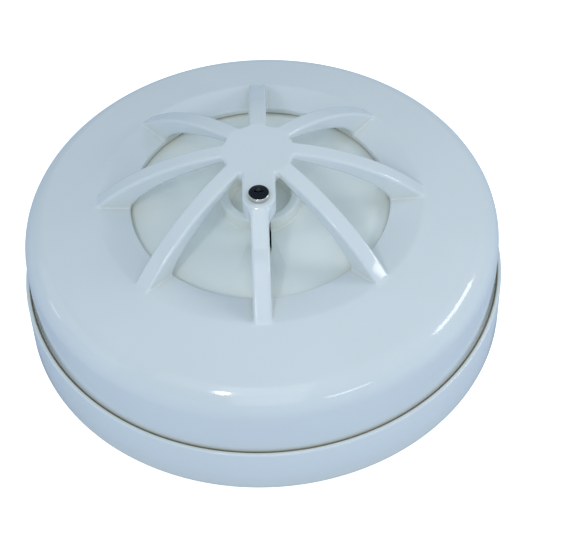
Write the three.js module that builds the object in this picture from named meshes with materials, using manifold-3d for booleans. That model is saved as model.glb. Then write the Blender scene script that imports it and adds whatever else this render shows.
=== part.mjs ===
// Point heat detector: a plug-in head with a finned cage over its thermistor, on a bayonet ceiling base.
// Units are millimetres. The origin is the middle of the base's mounting face, +Z runs along the axis
// towards the cage, and the cage rib that carries the retaining screw points along -Y.
import * as THREE from 'three';
import { mergeVertices } from 'three/addons/utils/BufferGeometryUtils.js';
import Module from 'manifold-3d';

const wasm = await Module();
wasm.setup();

// ---------------------------------------------------------------- driving dimensions
const BASE_RADIUS = 50; // widest radius, at the mounting face
const BASE_HEIGHT = 11; // mounting face to the top of the base's rim
const BASE_FLOOR = 2.2;
const BASE_RIM_RADIUS = 49.8;
const BASE_WALL_INNER = 47.4;
const RIM_EDGE = 0.35;
const RIM_LIP_INNER = 49; // the cover's foot drops inside this lip
const RIM_LEDGE_Z = 10;
const CABLE_ENTRY_RADIUS = 11;

const COVER_FOOT_RADIUS = 48.7;
const COVER_FOOT_Z = RIM_LEDGE_Z + 0.3;
const COVER_WALL = 2;
const COVER_CORNER_RADIUS = 48.45; // where the wall line would meet the top's slope
const COVER_CORNER_Z = 25.2;
const SHOULDER_RADIUS = 6.5;
const TOP_SLOPE = THREE.MathUtils.degToRad(16.5);
const CRATER_RADIUS = 32.8; // crest of the top, where the band starts to fall inwards
const OPENING_RADIUS = 26.1;
const OPENING_Z = 29.3;
const LIP_UNDERSIDE_Z = 28.05;

const RIB_COUNT = 8;
const RIB_WIDTH = 3.5;
const RIB_EDGE = 0.45; // chamfer along a rib's edges
const HUB_RADIUS = 7.1;
const HUB_TOP_Z = 43;
const HUB_THICKNESS = 2;
const SCREW_Y = -12.5; // the retaining screw stands this far from the axis
const BOSS_RADIUS = 3.2;
const BOSS_DEPTH = 4;
const RAMP_TOP_Z = 42.6; // the screw's rib starts at this height beside the boss
const RAMP_END_R = 22;
const RAMP_END_Z = 37.7;

const CHASSIS_RADIUS = 45.6;
const CHASSIS_Z = 12;
const CHASSIS_THICKNESS = 1.4;
const STANDOFF_HEIGHT = 1.5;
const LUG_COUNT = 3;
const LUG_HALF_ANGLE = 6; // degrees
const HOOK_HALF_ANGLE = 7; // degrees
const RELEASE_ANGLE = 18; // degrees of twist between locked and free

const BOARD_RADIUS = 40;
const BOARD_THICKNESS = 1.6;
const BOARD_Z = CHASSIS_Z + CHASSIS_THICKNESS + STANDOFF_HEIGHT + 0.2;
const BOARD_TOP = BOARD_Z + BOARD_THICKNESS;
const PART_ON_BOARD_Z = BOARD_TOP + 0.25; // feet of the components

const SENSOR_PLATE_Z = 27.9; // exposed face
const SENSOR_PLATE_THICKNESS = 1.6;
const SENSOR_PLATE_RADIUS = 29.5;
const COLLAR_RADIUS = 8.1;
const COLLAR_WALL = 1.9;
const COLLAR_HEIGHT = 3;
const SLOT_HALF_WIDTH = 2;
const SLOT_END_Y = -14.4;

const TERMINAL_COUNT = 4;
const TERMINAL_SCREW_R = 27; // radius of the circle that the terminal screws stand on
const TERMINAL_HOLE_RADIUS = 2.05;
const TERMINAL_SHANK_RADIUS = 1.7;
const TERMINAL_POCKET_RADIUS = 2.3;
const TERMINAL_POCKET_Z = 1; // floor of the pocket under a terminal screw
const ASSEMBLY_SCREW_COUNT = 3;
const ASSEMBLY_SCREW_R = 20;
const ASSEMBLY_SHANK_RADIUS = 1.5;
const ASSEMBLY_HOLE_RADIUS = 1.8;
const ASSEMBLY_SCREW_LENGTH = 11;
const STANDOFF_RADIUS = 3.2;
const FIXING_SLOT_WIDTH = 5;
const FIXING_SPACING_MIN = 50.8; // closest fixing centres that the slots take
const FIXING_SPACING_MAX = 60.3;

const LUG_Z = 5.6; // underside of a bayonet lug
const LUG_THICKNESS = 1.5;
const LUG_STEM_INNER = 41;
const LUG_STEM_OUTER = 42.6;
const LUG_TIP = 44.6;
const LUG_PLAY = 0.4; // clearance of a lug under its hook
const HOOK_Z = LUG_Z + LUG_THICKNESS + LUG_PLAY; // underside of the hook over a lug
const HOOK_INNER = LUG_STEM_OUTER + LUG_PLAY;
const HOOK_TOP_Z = 9;
const STOP_ANGLE = 3; // degrees that a bayonet stop spans

const PAD_TOP = 4.3;
const PAD_HALF_WIDTH = 4.6;
const PAD_OUTER = 32;
const GAP = 0.2; // between flat pieces stacked on one another
const PLATE_Z = PAD_TOP + GAP;
const PLATE_THICKNESS = 0.8;
const PLATE_WIDTH = 7;
const PLATE_INNER = TERMINAL_SCREW_R - 4.2;
const PLATE_RISE_R = 34; // where the plate's slope reaches its raised end
const PLATE_TIP = 39.2;
const CONTACT_Z = 7.4; // top of a terminal plate's raised end
const WASHER_Z = PLATE_Z + PLATE_THICKNESS + GAP;
const WASHER_THICKNESS = 0.8;
const WASHER_HALF = 3.9;
const BLADE_THICKNESS = 0.7;
const BLADE_WIDTH = 5;
const RIVET_R = 34; // radius of the circle that the blade rivets stand on
const RIVET_HOLE_RADIUS = 1.8;
const RIVET_SHANK_RADIUS = 1.5;
const RIVET_HEAD_RADIUS = 2.4;
const RIVET_HEAD_HEIGHT = 0.6;

const POST_SHOULDER_Z = SENSOR_PLATE_Z - SENSOR_PLATE_THICKNESS - 0.5;
const POST_SHOULDER_RADIUS = 3;
const POST_TOP_GAP = 0.8; // between the post and the boss above it
const POST_TOP_Z = HUB_TOP_Z - BOSS_DEPTH - POST_TOP_GAP;
const POST_RADIUS = 1.6;
const PILOT_RADIUS = 1.2;
const PILOT_FLOOR_Z = 30;
const SLEEVE_TOP = 32.5;
const BEAD_BASE = 34.4;
const LEAD_X = 0.75; // half the spacing of the thermistor's leads

const FIT = 0.3; // clearance where two pieces meet
const BITE = 0.2; // how far an added feature reaches into the body that it is joined to
const ROUND = 60; // facets round a large circle
const SMALL_ROUND = 12; // facets round a screw or pin

// ---------------------------------------------------------------- materials
const finish = (color, roughness, metalness = 0) => ({ color, roughness, metalness });
const WHITE_ABS = finish(0xdde6ea, 0.28);
const INNER_ABS = finish(0xd6dfdc, 0.4);
const BOARD_GREEN = finish(0x2e6b3f, 0.5);
const NICKEL = finish(0xc9c6bd, 0.3, 1);
const BRONZE = finish(0xb98a4a, 0.35, 1);
const DARK_SCREW = finish(0x3a3e44, 0.25, 1);
const ZINC = finish(0xb9bec2, 0.35, 1);
const BLACK_EPOXY = finish(0x1c1d1f, 0.5);
const SLEEVE_WHITE = finish(0xe8e6df, 0.6);
const BEAD_GREEN = finish(0x2f4a3c, 0.3);
const BLUE_EPOXY = finish(0x2b5c9a, 0.4);
const RESISTOR_TAN = finish(0xc9b07c, 0.5);

// ---------------------------------------------------------------- small tools
// A point of the plan, from its distance to the axis and its angle.
const polar = (radius, degrees) => {
  const a = THREE.MathUtils.degToRad(degrees);
  return new THREE.Vector2(radius * Math.cos(a), radius * Math.sin(a));
};

// A geometry's vertices are merged and its zero-size triangles dropped, which leaves a closed solid.
function solid(geometry) {
  const bare = geometry.index ? geometry.clone() : geometry;
  bare.deleteAttribute('normal');
  bare.deleteAttribute('uv');
  const merged = mergeVertices(bare, 1e-4);
  const index = merged.index.array;
  const triVerts = [];
  for (let i = 0; i < index.length; i += 3) {
    const [a, b, c] = [index[i], index[i + 1], index[i + 2]];
    if (a !== b && b !== c && c !== a) {
      triVerts.push(a, b, c);
    }
  }
  return new wasm.Manifold(new wasm.Mesh({
    numProp: 3,
    vertProperties: new Float32Array(merged.attributes.position.array),
    triVerts: new Uint32Array(triVerts),
  }));
}

function geometryOf(manifold) {
  const mesh = manifold.getMesh();
  const geometry = new THREE.BufferGeometry();
  geometry.setAttribute('position', new THREE.BufferAttribute(new Float32Array(mesh.vertProperties), 3));
  geometry.setIndex(new THREE.BufferAttribute(new Uint32Array(mesh.triVerts), 1));
  const flat = geometry.toNonIndexed();
  flat.computeVertexNormals();
  return flat;
}

const unite = (...solids) => solids.reduce((whole, next) => whole.add(next));
const cut = (body, ...tools) => tools.reduce((left, tool) => left.subtract(tool), body);

// A profile is a list of [radius, z] pairs, anticlockwise in the (radius, z) plane.
function revolve(profile, segments = ROUND) {
  const points = profile.map(([r, z]) => new THREE.Vector2(r, z));
  const geometry = new THREE.LatheGeometry(points, segments);
  geometry.rotateX(Math.PI / 2);
  return solid(geometry);
}

// Points on an arc of a profile, both ends included, angles in degrees.
function arc(r, z, radius, from, to, steps) {
  return Array.from({ length: steps + 1 }, (_, i) => {
    const a = THREE.MathUtils.degToRad(from + ((to - from) * i) / steps);
    return [r + radius * Math.cos(a), z + radius * Math.sin(a)];
  });
}

function cylinder(radius, z0, z1, x = 0, y = 0, segments = SMALL_ROUND) {
  const geometry = new THREE.CylinderGeometry(radius, radius, z1 - z0, segments);
  geometry.rotateX(Math.PI / 2);
  geometry.translate(x, y, (z0 + z1) / 2);
  return solid(geometry);
}

function box(x0, x1, y0, y1, z0, z1) {
  const geometry = new THREE.BoxGeometry(x1 - x0, y1 - y0, z1 - z0);
  geometry.translate((x0 + x1) / 2, (y0 + y1) / 2, (z0 + z1) / 2);
  return solid(geometry);
}

function extrude(shape, z0, z1, curveSegments = 6) {
  const geometry = new THREE.ExtrudeGeometry(shape, { depth: z1 - z0, bevelEnabled: false, curveSegments });
  geometry.translate(0, 0, z0);
  return solid(geometry);
}

// A sector of a ring between two radii and two angles in degrees.
function sector(r0, r1, from, to, z0, z1) {
  const [a, b] = [from, to].map(THREE.MathUtils.degToRad);
  const shape = new THREE.Shape();
  shape.absarc(0, 0, r1, a, b, false);
  shape.absarc(0, 0, r0, b, a, true);
  return extrude(shape, z0, z1, 2);
}

// A slot with round ends along X, between two x values.
function slotAlongX(x0, x1, width, z0, z1) {
  const r = width / 2;
  const shape = new THREE.Shape();
  shape.absarc(x1 - r, 0, r, -Math.PI / 2, Math.PI / 2, false);
  shape.absarc(x0 + r, 0, r, Math.PI / 2, (3 * Math.PI) / 2, false);
  return extrude(shape, z0, z1, 4);
}

// An outline in the (radius, z) plane, given thickness across the radial direction.
function radialStrip(outline, width, bevel = 0, curveSegments = 10) {
  const geometry = new THREE.ExtrudeGeometry(outline, {
    depth: width - 2 * bevel,
    bevelEnabled: bevel > 0,
    bevelThickness: bevel,
    bevelSize: bevel,
    bevelOffset: -bevel,
    bevelSegments: 1,
    curveSegments,
  });
  geometry.translate(0, 0, bevel - width / 2);
  geometry.rotateX(Math.PI / 2);
  return solid(geometry);
}

const spread = (count, first) => Array.from({ length: count }, (_, i) => first + (i * 360) / count);
const terminalAngles = () => spread(TERMINAL_COUNT, 45);
const assemblyAngles = () => spread(ASSEMBLY_SCREW_COUNT, 90);
const lugAngles = () => spread(LUG_COUNT, 0);
const turned = (manifold, degrees) => manifold.rotate([0, 0, degrees]);

const detector = new THREE.Group();
function piece(name, manifold, look) {
  const mesh = new THREE.Mesh(geometryOf(manifold), new THREE.MeshStandardMaterial(look));
  mesh.name = name;
  detector.add(mesh);
  return mesh;
}

// A pan-head screw standing head up at the origin, its seat at z = 0, with a cross recess.
function panScrew(headRadius, headHeight, shankRadius, shankLength) {
  const crown = headHeight * 0.45;
  const profile = [
    [0, -shankLength],
    [shankRadius * 0.7, -shankLength],
    [shankRadius, -shankLength + shankRadius * 0.5],
    [shankRadius, 0],
    [headRadius, 0],
    [headRadius, crown],
    [headRadius * 0.65, headHeight],
    [0, headHeight],
  ];
  const arm = headRadius * 0.55;
  const half = headRadius * 0.13;
  const floor = headHeight * 0.45;
  const recess = unite(
    box(-arm, arm, -half, half, floor, headHeight + 1),
    box(-half, half, -arm, arm, floor, headHeight + 1),
  );
  return cut(revolve(profile, SMALL_ROUND), recess);
}

// ---------------------------------------------------------------- base
function makeBase() {
  const edge = 0.5;
  const collarTop = BASE_FLOOR + 1.8;
  const collarWall = 1.4;
  const dish = revolve([
    [CABLE_ENTRY_RADIUS, 0],
    [BASE_RADIUS - edge, 0],
    [BASE_RADIUS, edge],
    [BASE_RIM_RADIUS, BASE_HEIGHT - RIM_EDGE],
    [BASE_RIM_RADIUS - RIM_EDGE, BASE_HEIGHT],
    [RIM_LIP_INNER, BASE_HEIGHT],
    [RIM_LIP_INNER, RIM_LEDGE_Z],
    [BASE_WALL_INNER, RIM_LEDGE_Z],
    [BASE_WALL_INNER, BASE_FLOOR],
    [CABLE_ENTRY_RADIUS + collarWall, BASE_FLOOR],
    [CABLE_ENTRY_RADIUS + collarWall, collarTop],
    [CABLE_ENTRY_RADIUS, collarTop],
    [CABLE_ENTRY_RADIUS, 0],
  ]);
  const features = [];
  const cuts = [];
  const wall = BASE_WALL_INNER + BITE;
  for (const at of lugAngles()) {
    const lock = at - HOOK_HALF_ANGLE - STOP_ANGLE;
    const free = at + LUG_HALF_ANGLE + RELEASE_ANGLE + 1;
    features.push(sector(HOOK_INNER, wall, lock, at + HOOK_HALF_ANGLE, HOOK_Z, HOOK_TOP_Z));
    features.push(sector(HOOK_INNER, wall, lock, lock + STOP_ANGLE, BASE_FLOOR - BITE, HOOK_Z + BITE));
    features.push(sector(HOOK_INNER, wall, free, free + STOP_ANGLE, BASE_FLOOR - BITE, LUG_Z + 1));
  }
  for (const at of terminalAngles()) {
    const padInner = TERMINAL_SCREW_R - PAD_HALF_WIDTH;
    const pad = box(padInner, PAD_OUTER, -PAD_HALF_WIDTH, PAD_HALF_WIDTH, BASE_FLOOR - BITE, PAD_TOP);
    const pocket = cylinder(TERMINAL_POCKET_RADIUS, TERMINAL_POCKET_Z, PAD_TOP + 1, TERMINAL_SCREW_R);
    features.push(turned(pad, at));
    cuts.push(turned(pocket, at));
  }
  const slotStart = FIXING_SPACING_MIN / 2 - FIXING_SLOT_WIDTH / 2;
  const slotEnd = FIXING_SPACING_MAX / 2 + FIXING_SLOT_WIDTH / 2;
  for (const at of [0, 180]) {
    cuts.push(turned(slotAlongX(slotStart, slotEnd, FIXING_SLOT_WIDTH, -1, BASE_FLOOR + 1), at));
  }
  return cut(unite(dish, ...features), ...cuts);
}

// Sheet-metal outline that follows a list of [radius, z] points on its lower side.
function sheetOutline(lower, thickness) {
  const upper = lower.map(([r, z]) => [r, z + thickness]).reverse();
  return new THREE.Shape([...lower, ...upper].map(([r, z]) => new THREE.Vector2(r, z)));
}

function makeTerminalPlate() {
  const outline = sheetOutline([
    [PLATE_INNER, PLATE_Z],
    [PAD_OUTER, PLATE_Z],
    [PLATE_RISE_R, CONTACT_Z - PLATE_THICKNESS],
    [PLATE_TIP, CONTACT_Z - PLATE_THICKNESS],
  ], PLATE_THICKNESS);
  const hole = cylinder(TERMINAL_HOLE_RADIUS, 0, CONTACT_Z, TERMINAL_SCREW_R);
  return cut(radialStrip(outline, PLATE_WIDTH), hole);
}

function makeClampWasher() {
  const [r, half] = [TERMINAL_SCREW_R, WASHER_HALF];
  const plate = box(r - half, r + half, -half, half, WASHER_Z, WASHER_Z + WASHER_THICKNESS);
  return cut(plate, cylinder(TERMINAL_HOLE_RADIUS, 0, CONTACT_Z, r));
}

function makeTerminalScrew() {
  const seat = WASHER_Z + WASHER_THICKNESS + GAP;
  const [headRadius, headHeight] = [3.4, 2.2];
  const tipClearance = 0.6;
  const shank = seat - TERMINAL_POCKET_Z - tipClearance;
  const screw = panScrew(headRadius, headHeight, TERMINAL_SHANK_RADIUS, shank);
  return screw.translate([TERMINAL_SCREW_R, 0, seat]);
}

// ---------------------------------------------------------------- head: chassis and what it carries
function makeChassis() {
  const top = CHASSIS_Z + CHASSIS_THICKNESS;
  const skirtWall = 1.2;
  const skirtFoot = 9.9;
  const disc = revolve([
    [0, CHASSIS_Z],
    [CHASSIS_RADIUS - skirtWall, CHASSIS_Z],
    [CHASSIS_RADIUS - skirtWall, skirtFoot],
    [CHASSIS_RADIUS, skirtFoot],
    [CHASSIS_RADIUS, top],
    [0, top],
  ]);
  const features = [];
  const cuts = [];
  for (const at of lugAngles()) {
    const [from, to] = [at - LUG_HALF_ANGLE, at + LUG_HALF_ANGLE];
    features.push(sector(LUG_STEM_INNER, LUG_STEM_OUTER, from, to, LUG_Z, CHASSIS_Z + BITE));
    features.push(sector(LUG_STEM_INNER, LUG_TIP, from, to, LUG_Z, LUG_Z + LUG_THICKNESS));
  }
  for (const at of assemblyAngles()) {
    const p = polar(ASSEMBLY_SCREW_R, at);
    features.push(cylinder(STANDOFF_RADIUS, top - BITE, top + STANDOFF_HEIGHT, p.x, p.y));
    cuts.push(cylinder(ASSEMBLY_HOLE_RADIUS, 0, BOARD_TOP, p.x, p.y));
  }
  for (const at of terminalAngles()) {
    const p = polar(RIVET_R, at);
    cuts.push(cylinder(RIVET_HOLE_RADIUS, 0, BOARD_TOP, p.x, p.y));
  }
  features.push(cylinder(POST_SHOULDER_RADIUS, top - BITE, POST_SHOULDER_Z, 0, SCREW_Y));
  features.push(cylinder(POST_RADIUS, POST_SHOULDER_Z - BITE, POST_TOP_Z, 0, SCREW_Y));
  cuts.push(cylinder(PILOT_RADIUS, PILOT_FLOOR_Z, POST_TOP_Z + 1, 0, SCREW_Y));
  return cut(unite(disc, ...features), ...cuts);
}

// A spring blade: a foot under the chassis, a leg down, and a contact foot turned back over the plate.
function makeContactBlade() {
  const sheet = BLADE_THICKNESS;
  const footTop = CHASSIS_Z - FIT;
  const contact = CONTACT_Z + 2 * GAP;
  const [inner, outer, turn] = [31.4, 38.7, 35];
  const points = [
    [inner, footTop - sheet],
    [outer - sheet, footTop - sheet],
    [outer - sheet, contact + sheet],
    [turn, contact + sheet],
    [turn, contact],
    [outer, contact],
    [outer, footTop],
    [inner, footTop],
  ];
  const outline = new THREE.Shape(points.map(([r, z]) => new THREE.Vector2(r, z)));
  const hole = cylinder(RIVET_HOLE_RADIUS, footTop - 1, footTop + 1, RIVET_R);
  return cut(radialStrip(outline, BLADE_WIDTH), hole);
}

function makeBladeRivet() {
  const bottom = CHASSIS_Z - FIT - BLADE_THICKNESS - GAP;
  const top = CHASSIS_Z + CHASSIS_THICKNESS + GAP;
  const crown = RIVET_HEAD_RADIUS - 0.5;
  return revolve([
    [0, bottom - RIVET_HEAD_HEIGHT],
    [crown, bottom - RIVET_HEAD_HEIGHT],
    [RIVET_HEAD_RADIUS, bottom],
    [RIVET_SHANK_RADIUS, bottom],
    [RIVET_SHANK_RADIUS, top],
    [RIVET_HEAD_RADIUS, top],
    [crown, top + RIVET_HEAD_HEIGHT],
    [0, top + RIVET_HEAD_HEIGHT],
  ], SMALL_ROUND).translate([RIVET_R, 0, 0]);
}

function makeBoard() {
  const holes = assemblyAngles().map((at) => {
    const p = polar(ASSEMBLY_SCREW_R, at);
    return cylinder(ASSEMBLY_HOLE_RADIUS, 0, BOARD_TOP + 1, p.x, p.y);
  });
  const disc = cylinder(BOARD_RADIUS, BOARD_Z, BOARD_TOP, 0, 0, ROUND);
  const postHole = cylinder(POST_SHOULDER_RADIUS + 0.6, 0, BOARD_TOP + 1, 0, SCREW_Y);
  return cut(disc, postHole, ...holes);
}

function makeAssemblyScrew() {
  const seat = CHASSIS_Z - GAP;
  const [headRadius, headHeight] = [2.8, 2.1];
  const screw = panScrew(headRadius, headHeight, ASSEMBLY_SHANK_RADIUS, ASSEMBLY_SCREW_LENGTH);
  return screw.rotate([180, 0, 0]).translate([0, 0, seat]);
}

function makeSensorPlate() {
  const under = SENSOR_PLATE_Z - SENSOR_PLATE_THICKNESS;
  const foot = BOARD_TOP + 2 * GAP;
  const wall = 1.2;
  const edge = 0.3;
  const holeRadius = 2.4; // clear of the thermistor's sleeve
  const collarTop = SENSOR_PLATE_Z + COLLAR_HEIGHT;
  const cup = revolve([
    [holeRadius, under],
    [SENSOR_PLATE_RADIUS - wall, under],
    [SENSOR_PLATE_RADIUS - wall, foot],
    [SENSOR_PLATE_RADIUS, foot],
    [SENSOR_PLATE_RADIUS, SENSOR_PLATE_Z],
    [COLLAR_RADIUS, SENSOR_PLATE_Z],
    [COLLAR_RADIUS, collarTop - edge],
    [COLLAR_RADIUS - edge, collarTop],
    [COLLAR_RADIUS - COLLAR_WALL, collarTop],
    [COLLAR_RADIUS - COLLAR_WALL, SENSOR_PLATE_Z],
    [holeRadius, SENSOR_PLATE_Z],
    [holeRadius, under],
  ]);
  const bosses = [];
  const pilots = [];
  for (const at of assemblyAngles()) {
    const p = polar(ASSEMBLY_SCREW_R, at);
    bosses.push(cylinder(STANDOFF_RADIUS, foot, under + BITE, p.x, p.y));
    pilots.push(cylinder(ASSEMBLY_HOLE_RADIUS, foot - 1, under - 0.6, p.x, p.y));
  }
  const slotStart = 5;
  const slot = slotAlongX(slotStart, -SLOT_END_Y, 2 * SLOT_HALF_WIDTH, under - 1, collarTop + 1);
  return cut(unite(cup, ...bosses), turned(slot, -90), ...pilots);
}

function makeSleeve() {
  const [sleeveRadius, boreRadius] = [1.75, 0.38];
  const bores = [-LEAD_X, LEAD_X].map((x) => cylinder(boreRadius, BOARD_TOP, SLEEVE_TOP + 1, x, 0, 8));
  return cut(cylinder(sleeveRadius, PART_ON_BOARD_Z, SLEEVE_TOP), ...bores);
}

function makeBead() {
  const [beadRadius, neckRadius, beadHeight] = [1.4, 1.1, 3.2];
  return revolve([
    [0, BEAD_BASE],
    [neckRadius, BEAD_BASE],
    ...arc(0, BEAD_BASE + beadHeight / 2, beadRadius, -30, 60, 4),
    [0, BEAD_BASE + beadHeight],
  ], SMALL_ROUND);
}

// ---------------------------------------------------------------- components on the board
// Even steps along a length, each in the middle of its share.
const spreadAlong = (length, count) => (
  Array.from({ length: count }, (_, i) => (i - (count - 1) / 2) * (length / count))
);

function chipPackage(length, width, height, legsPerSide) {
  const z = PART_ON_BOARD_Z;
  const standoff = 0.3;
  const sheet = 0.3;
  const footLength = 1;
  const footHalf = 0.25;
  const body = box(-length / 2, length / 2, -width / 2, width / 2, z + standoff, z + standoff + height);
  const reach = width / 2 + footLength;
  const feet = spreadAlong(length, legsPerSide).map((x) => (
    box(x - footHalf, x + footHalf, -reach, reach, z, z + standoff + sheet)
  ));
  return unite(body, ...feet);
}

// Two round legs down to the board, at a spacing along X.
function legs(spacing, top, radius = 0.3) {
  return [-spacing / 2, spacing / 2].map((x) => cylinder(radius, PART_ON_BOARD_Z, top, x, 0, 6));
}

function makeCapacitor() {
  const [z, r, height, edge] = [PART_ON_BOARD_Z, 3.15, 6.6, 0.4];
  return revolve([
    [0, z],
    [r, z],
    [r, z + height - edge],
    [r - edge, z + height],
    [0, z + height],
  ], 20);
}

function makeVaristor() {
  const [r, thickness, spacing] = [3.4, 2.6, 4];
  const centre = PART_ON_BOARD_Z + r + 1.2;
  const disc = solid(new THREE.CylinderGeometry(r, r, thickness, 20)).translate([0, 0, centre]);
  return unite(disc, ...legs(spacing, centre));
}

function makeTransistor() {
  const [r, height, pinRadius, pinPitch] = [2.3, 4.4, 0.25, 1.27];
  const z = PART_ON_BOARD_Z + 2;
  const shape = new THREE.Shape();
  shape.absarc(0, 0, r, THREE.MathUtils.degToRad(-140), THREE.MathUtils.degToRad(-40), true);
  const body = extrude(shape, z, z + height, 8);
  const pins = [-pinPitch, 0, pinPitch].map((x) => cylinder(pinRadius, PART_ON_BOARD_Z, z + 1, x, 0, 8));
  return unite(body, ...pins);
}

function makeResistor() {
  const [half, r, edge] = [3.2, 1.15, 0.5];
  const [wireRadius, wireHalf] = [0.3, 5];
  const z = PART_ON_BOARD_Z + 1.5;
  const body = revolve([
    [0, -half],
    [r * 0.8, -half],
    [r, -half + edge],
    [r, half - edge],
    [r * 0.8, half],
    [0, half],
  ], 8);
  const wire = cylinder(wireRadius, -wireHalf, wireHalf, 0, 0, 6);
  const lying = unite(body, wire).rotate([0, 90, 0]).translate([0, 0, z]);
  return unite(lying, ...legs(2 * (wireHalf - wireRadius), z));
}

function makeReferenceThermistor() {
  const [beadRadius, legRadius] = [1.4, 0.25];
  const centre = PART_ON_BOARD_Z + beadRadius + 2;
  const bead = revolve(arc(0, centre, beadRadius, -90, 90, 6), 8);
  return unite(bead, ...legs(2 * LEAD_X, centre, legRadius));
}

// ---------------------------------------------------------------- outer cover and its cage
function makeCoverShell() {
  const slope = new THREE.Vector2(-Math.cos(TOP_SLOPE), Math.sin(TOP_SLOPE));
  const reach = SHOULDER_RADIUS * Math.tan((Math.PI / 2 - TOP_SLOPE) / 2); // tangent length of the shoulder
  const centreR = COVER_CORNER_RADIUS - SHOULDER_RADIUS;
  const centreZ = COVER_CORNER_Z - reach;
  const crestZ = COVER_CORNER_Z - (COVER_CORNER_RADIUS - CRATER_RADIUS) * (slope.y / slope.x);
  const slopeDegrees = THREE.MathUtils.radToDeg(TOP_SLOPE);
  const turn = 90 - slopeDegrees;
  const innerR = COVER_CORNER_RADIUS - COVER_WALL;
  const innerShoulder = SHOULDER_RADIUS - COVER_WALL;
  const crestBlend = 0.6; // half the width of the crest's rounding
  const edge = 0.3;
  return revolve([
    [COVER_FOOT_RADIUS - COVER_WALL, COVER_FOOT_Z],
    [COVER_FOOT_RADIUS, COVER_FOOT_Z],
    ...arc(centreR, centreZ, SHOULDER_RADIUS, 0, turn, 5),
    [CRATER_RADIUS + crestBlend, crestZ - crestBlend / 4],
    [CRATER_RADIUS - crestBlend, crestZ],
    [OPENING_RADIUS + edge, OPENING_Z],
    [OPENING_RADIUS, OPENING_Z - edge],
    [OPENING_RADIUS, LIP_UNDERSIDE_Z],
    [CRATER_RADIUS - COVER_WALL, LIP_UNDERSIDE_Z],
    ...arc(centreR, centreZ, innerShoulder, turn, 0, 3),
    [innerR, centreZ],
    [COVER_FOOT_RADIUS - COVER_WALL, COVER_FOOT_Z],
  ].filter(([r, z], i, all) => i === 0 || Math.hypot(r - all[i - 1][0], z - all[i - 1][1]) > 1e-6));
}

// A rib's side view: its back follows a large arc down from the hub, its underside an arch.
function ribOutline() {
  const archTop = HUB_TOP_Z - HUB_THICKNESS + 0.3;
  const rootR = 3; // the ribs start inside the hub
  const tail = { r: 33, z: 29.7 };
  const foot = { r: tail.r - 0.2, z: 28.9 }; // inside the band's wall
  const spring = { r: OPENING_RADIUS + 0.15, z: 28.6 };
  const lower = { r: 24.9, z: 33.2 }; // the arch leans on these two points
  const upper = { r: 17.5, z: 37.6 };
  const chord = new THREE.Vector2(tail.r - HUB_RADIUS, tail.z - HUB_TOP_Z);
  const sag = 2.2;
  const backRadius = (chord.lengthSq() / 4 + sag * sag) / (2 * sag);
  const middle = new THREE.Vector2(HUB_RADIUS + chord.x / 2, HUB_TOP_Z + chord.y / 2);
  const inward = new THREE.Vector2(chord.y, -chord.x).normalize();
  const centre = middle.addScaledVector(inward, backRadius - sag);
  const start = Math.atan2(HUB_TOP_Z - centre.y, HUB_RADIUS - centre.x);
  const end = Math.atan2(tail.z - centre.y, tail.r - centre.x);
  const shape = new THREE.Shape();
  shape.moveTo(rootR, HUB_TOP_Z);
  shape.absarc(centre.x, centre.y, backRadius, start, end, true);
  shape.lineTo(foot.r, foot.z);
  shape.lineTo(spring.r, spring.z);
  shape.bezierCurveTo(lower.r, lower.z, upper.r, upper.z, HUB_RADIUS, archTop);
  shape.lineTo(rootR, archTop);
  return shape;
}

// The screw's rib falls from the boss to the line of its own back along a short ramp.
function makeRamp() {
  const bossFront = -SCREW_Y + BOSS_RADIUS;
  const points = [
    [bossFront - 1, RAMP_END_Z],
    [RAMP_END_R, RAMP_END_Z],
    [bossFront, RAMP_TOP_Z],
    [bossFront - 1, RAMP_TOP_Z],
  ];
  const outline = new THREE.Shape(points.map(([r, z]) => new THREE.Vector2(r, z)));
  return turned(radialStrip(outline, RIB_WIDTH, RIB_EDGE), -90);
}

function makeCover() {
  const rib = radialStrip(ribOutline(), RIB_WIDTH, RIB_EDGE, 6);
  const ribs = spread(RIB_COUNT, -90).map((at) => turned(rib, at));
  const hub = cylinder(HUB_RADIUS, HUB_TOP_Z - HUB_THICKNESS, HUB_TOP_Z, 0, 0, 32);
  const bossFoot = HUB_TOP_Z - BOSS_DEPTH;
  const boss = cylinder(BOSS_RADIUS, bossFoot, HUB_TOP_Z, 0, SCREW_Y, 24);
  const tab = box(-BOSS_RADIUS, BOSS_RADIUS, SCREW_Y, -HUB_RADIUS * 0.8, bossFoot, HUB_TOP_Z);
  const screwHole = cylinder(PILOT_RADIUS, bossFoot - 4, HUB_TOP_Z + 1, 0, SCREW_Y);
  return cut(unite(makeCoverShell(), ...ribs, makeRamp(), hub, boss, tab), screwHole);
}

function makeRetainingScrew() {
  const seat = HUB_TOP_Z + 0.15;
  const [headRadius, headHeight] = [2, 1.1];
  const [shankRadius, shankLength] = [0.95, 11];
  return panScrew(headRadius, headHeight, shankRadius, shankLength).translate([0, SCREW_Y, seat]);
}

// ---------------------------------------------------------------- assembly
piece('base_dish', makeBase(), WHITE_ABS);
terminalAngles().forEach((at, i) => {
  piece(`terminal_plate_${i + 1}`, turned(makeTerminalPlate(), at), NICKEL);
  piece(`clamp_washer_${i + 1}`, turned(makeClampWasher(), at), ZINC);
  piece(`terminal_screw_${i + 1}`, turned(makeTerminalScrew(), at), NICKEL);
});

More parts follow.
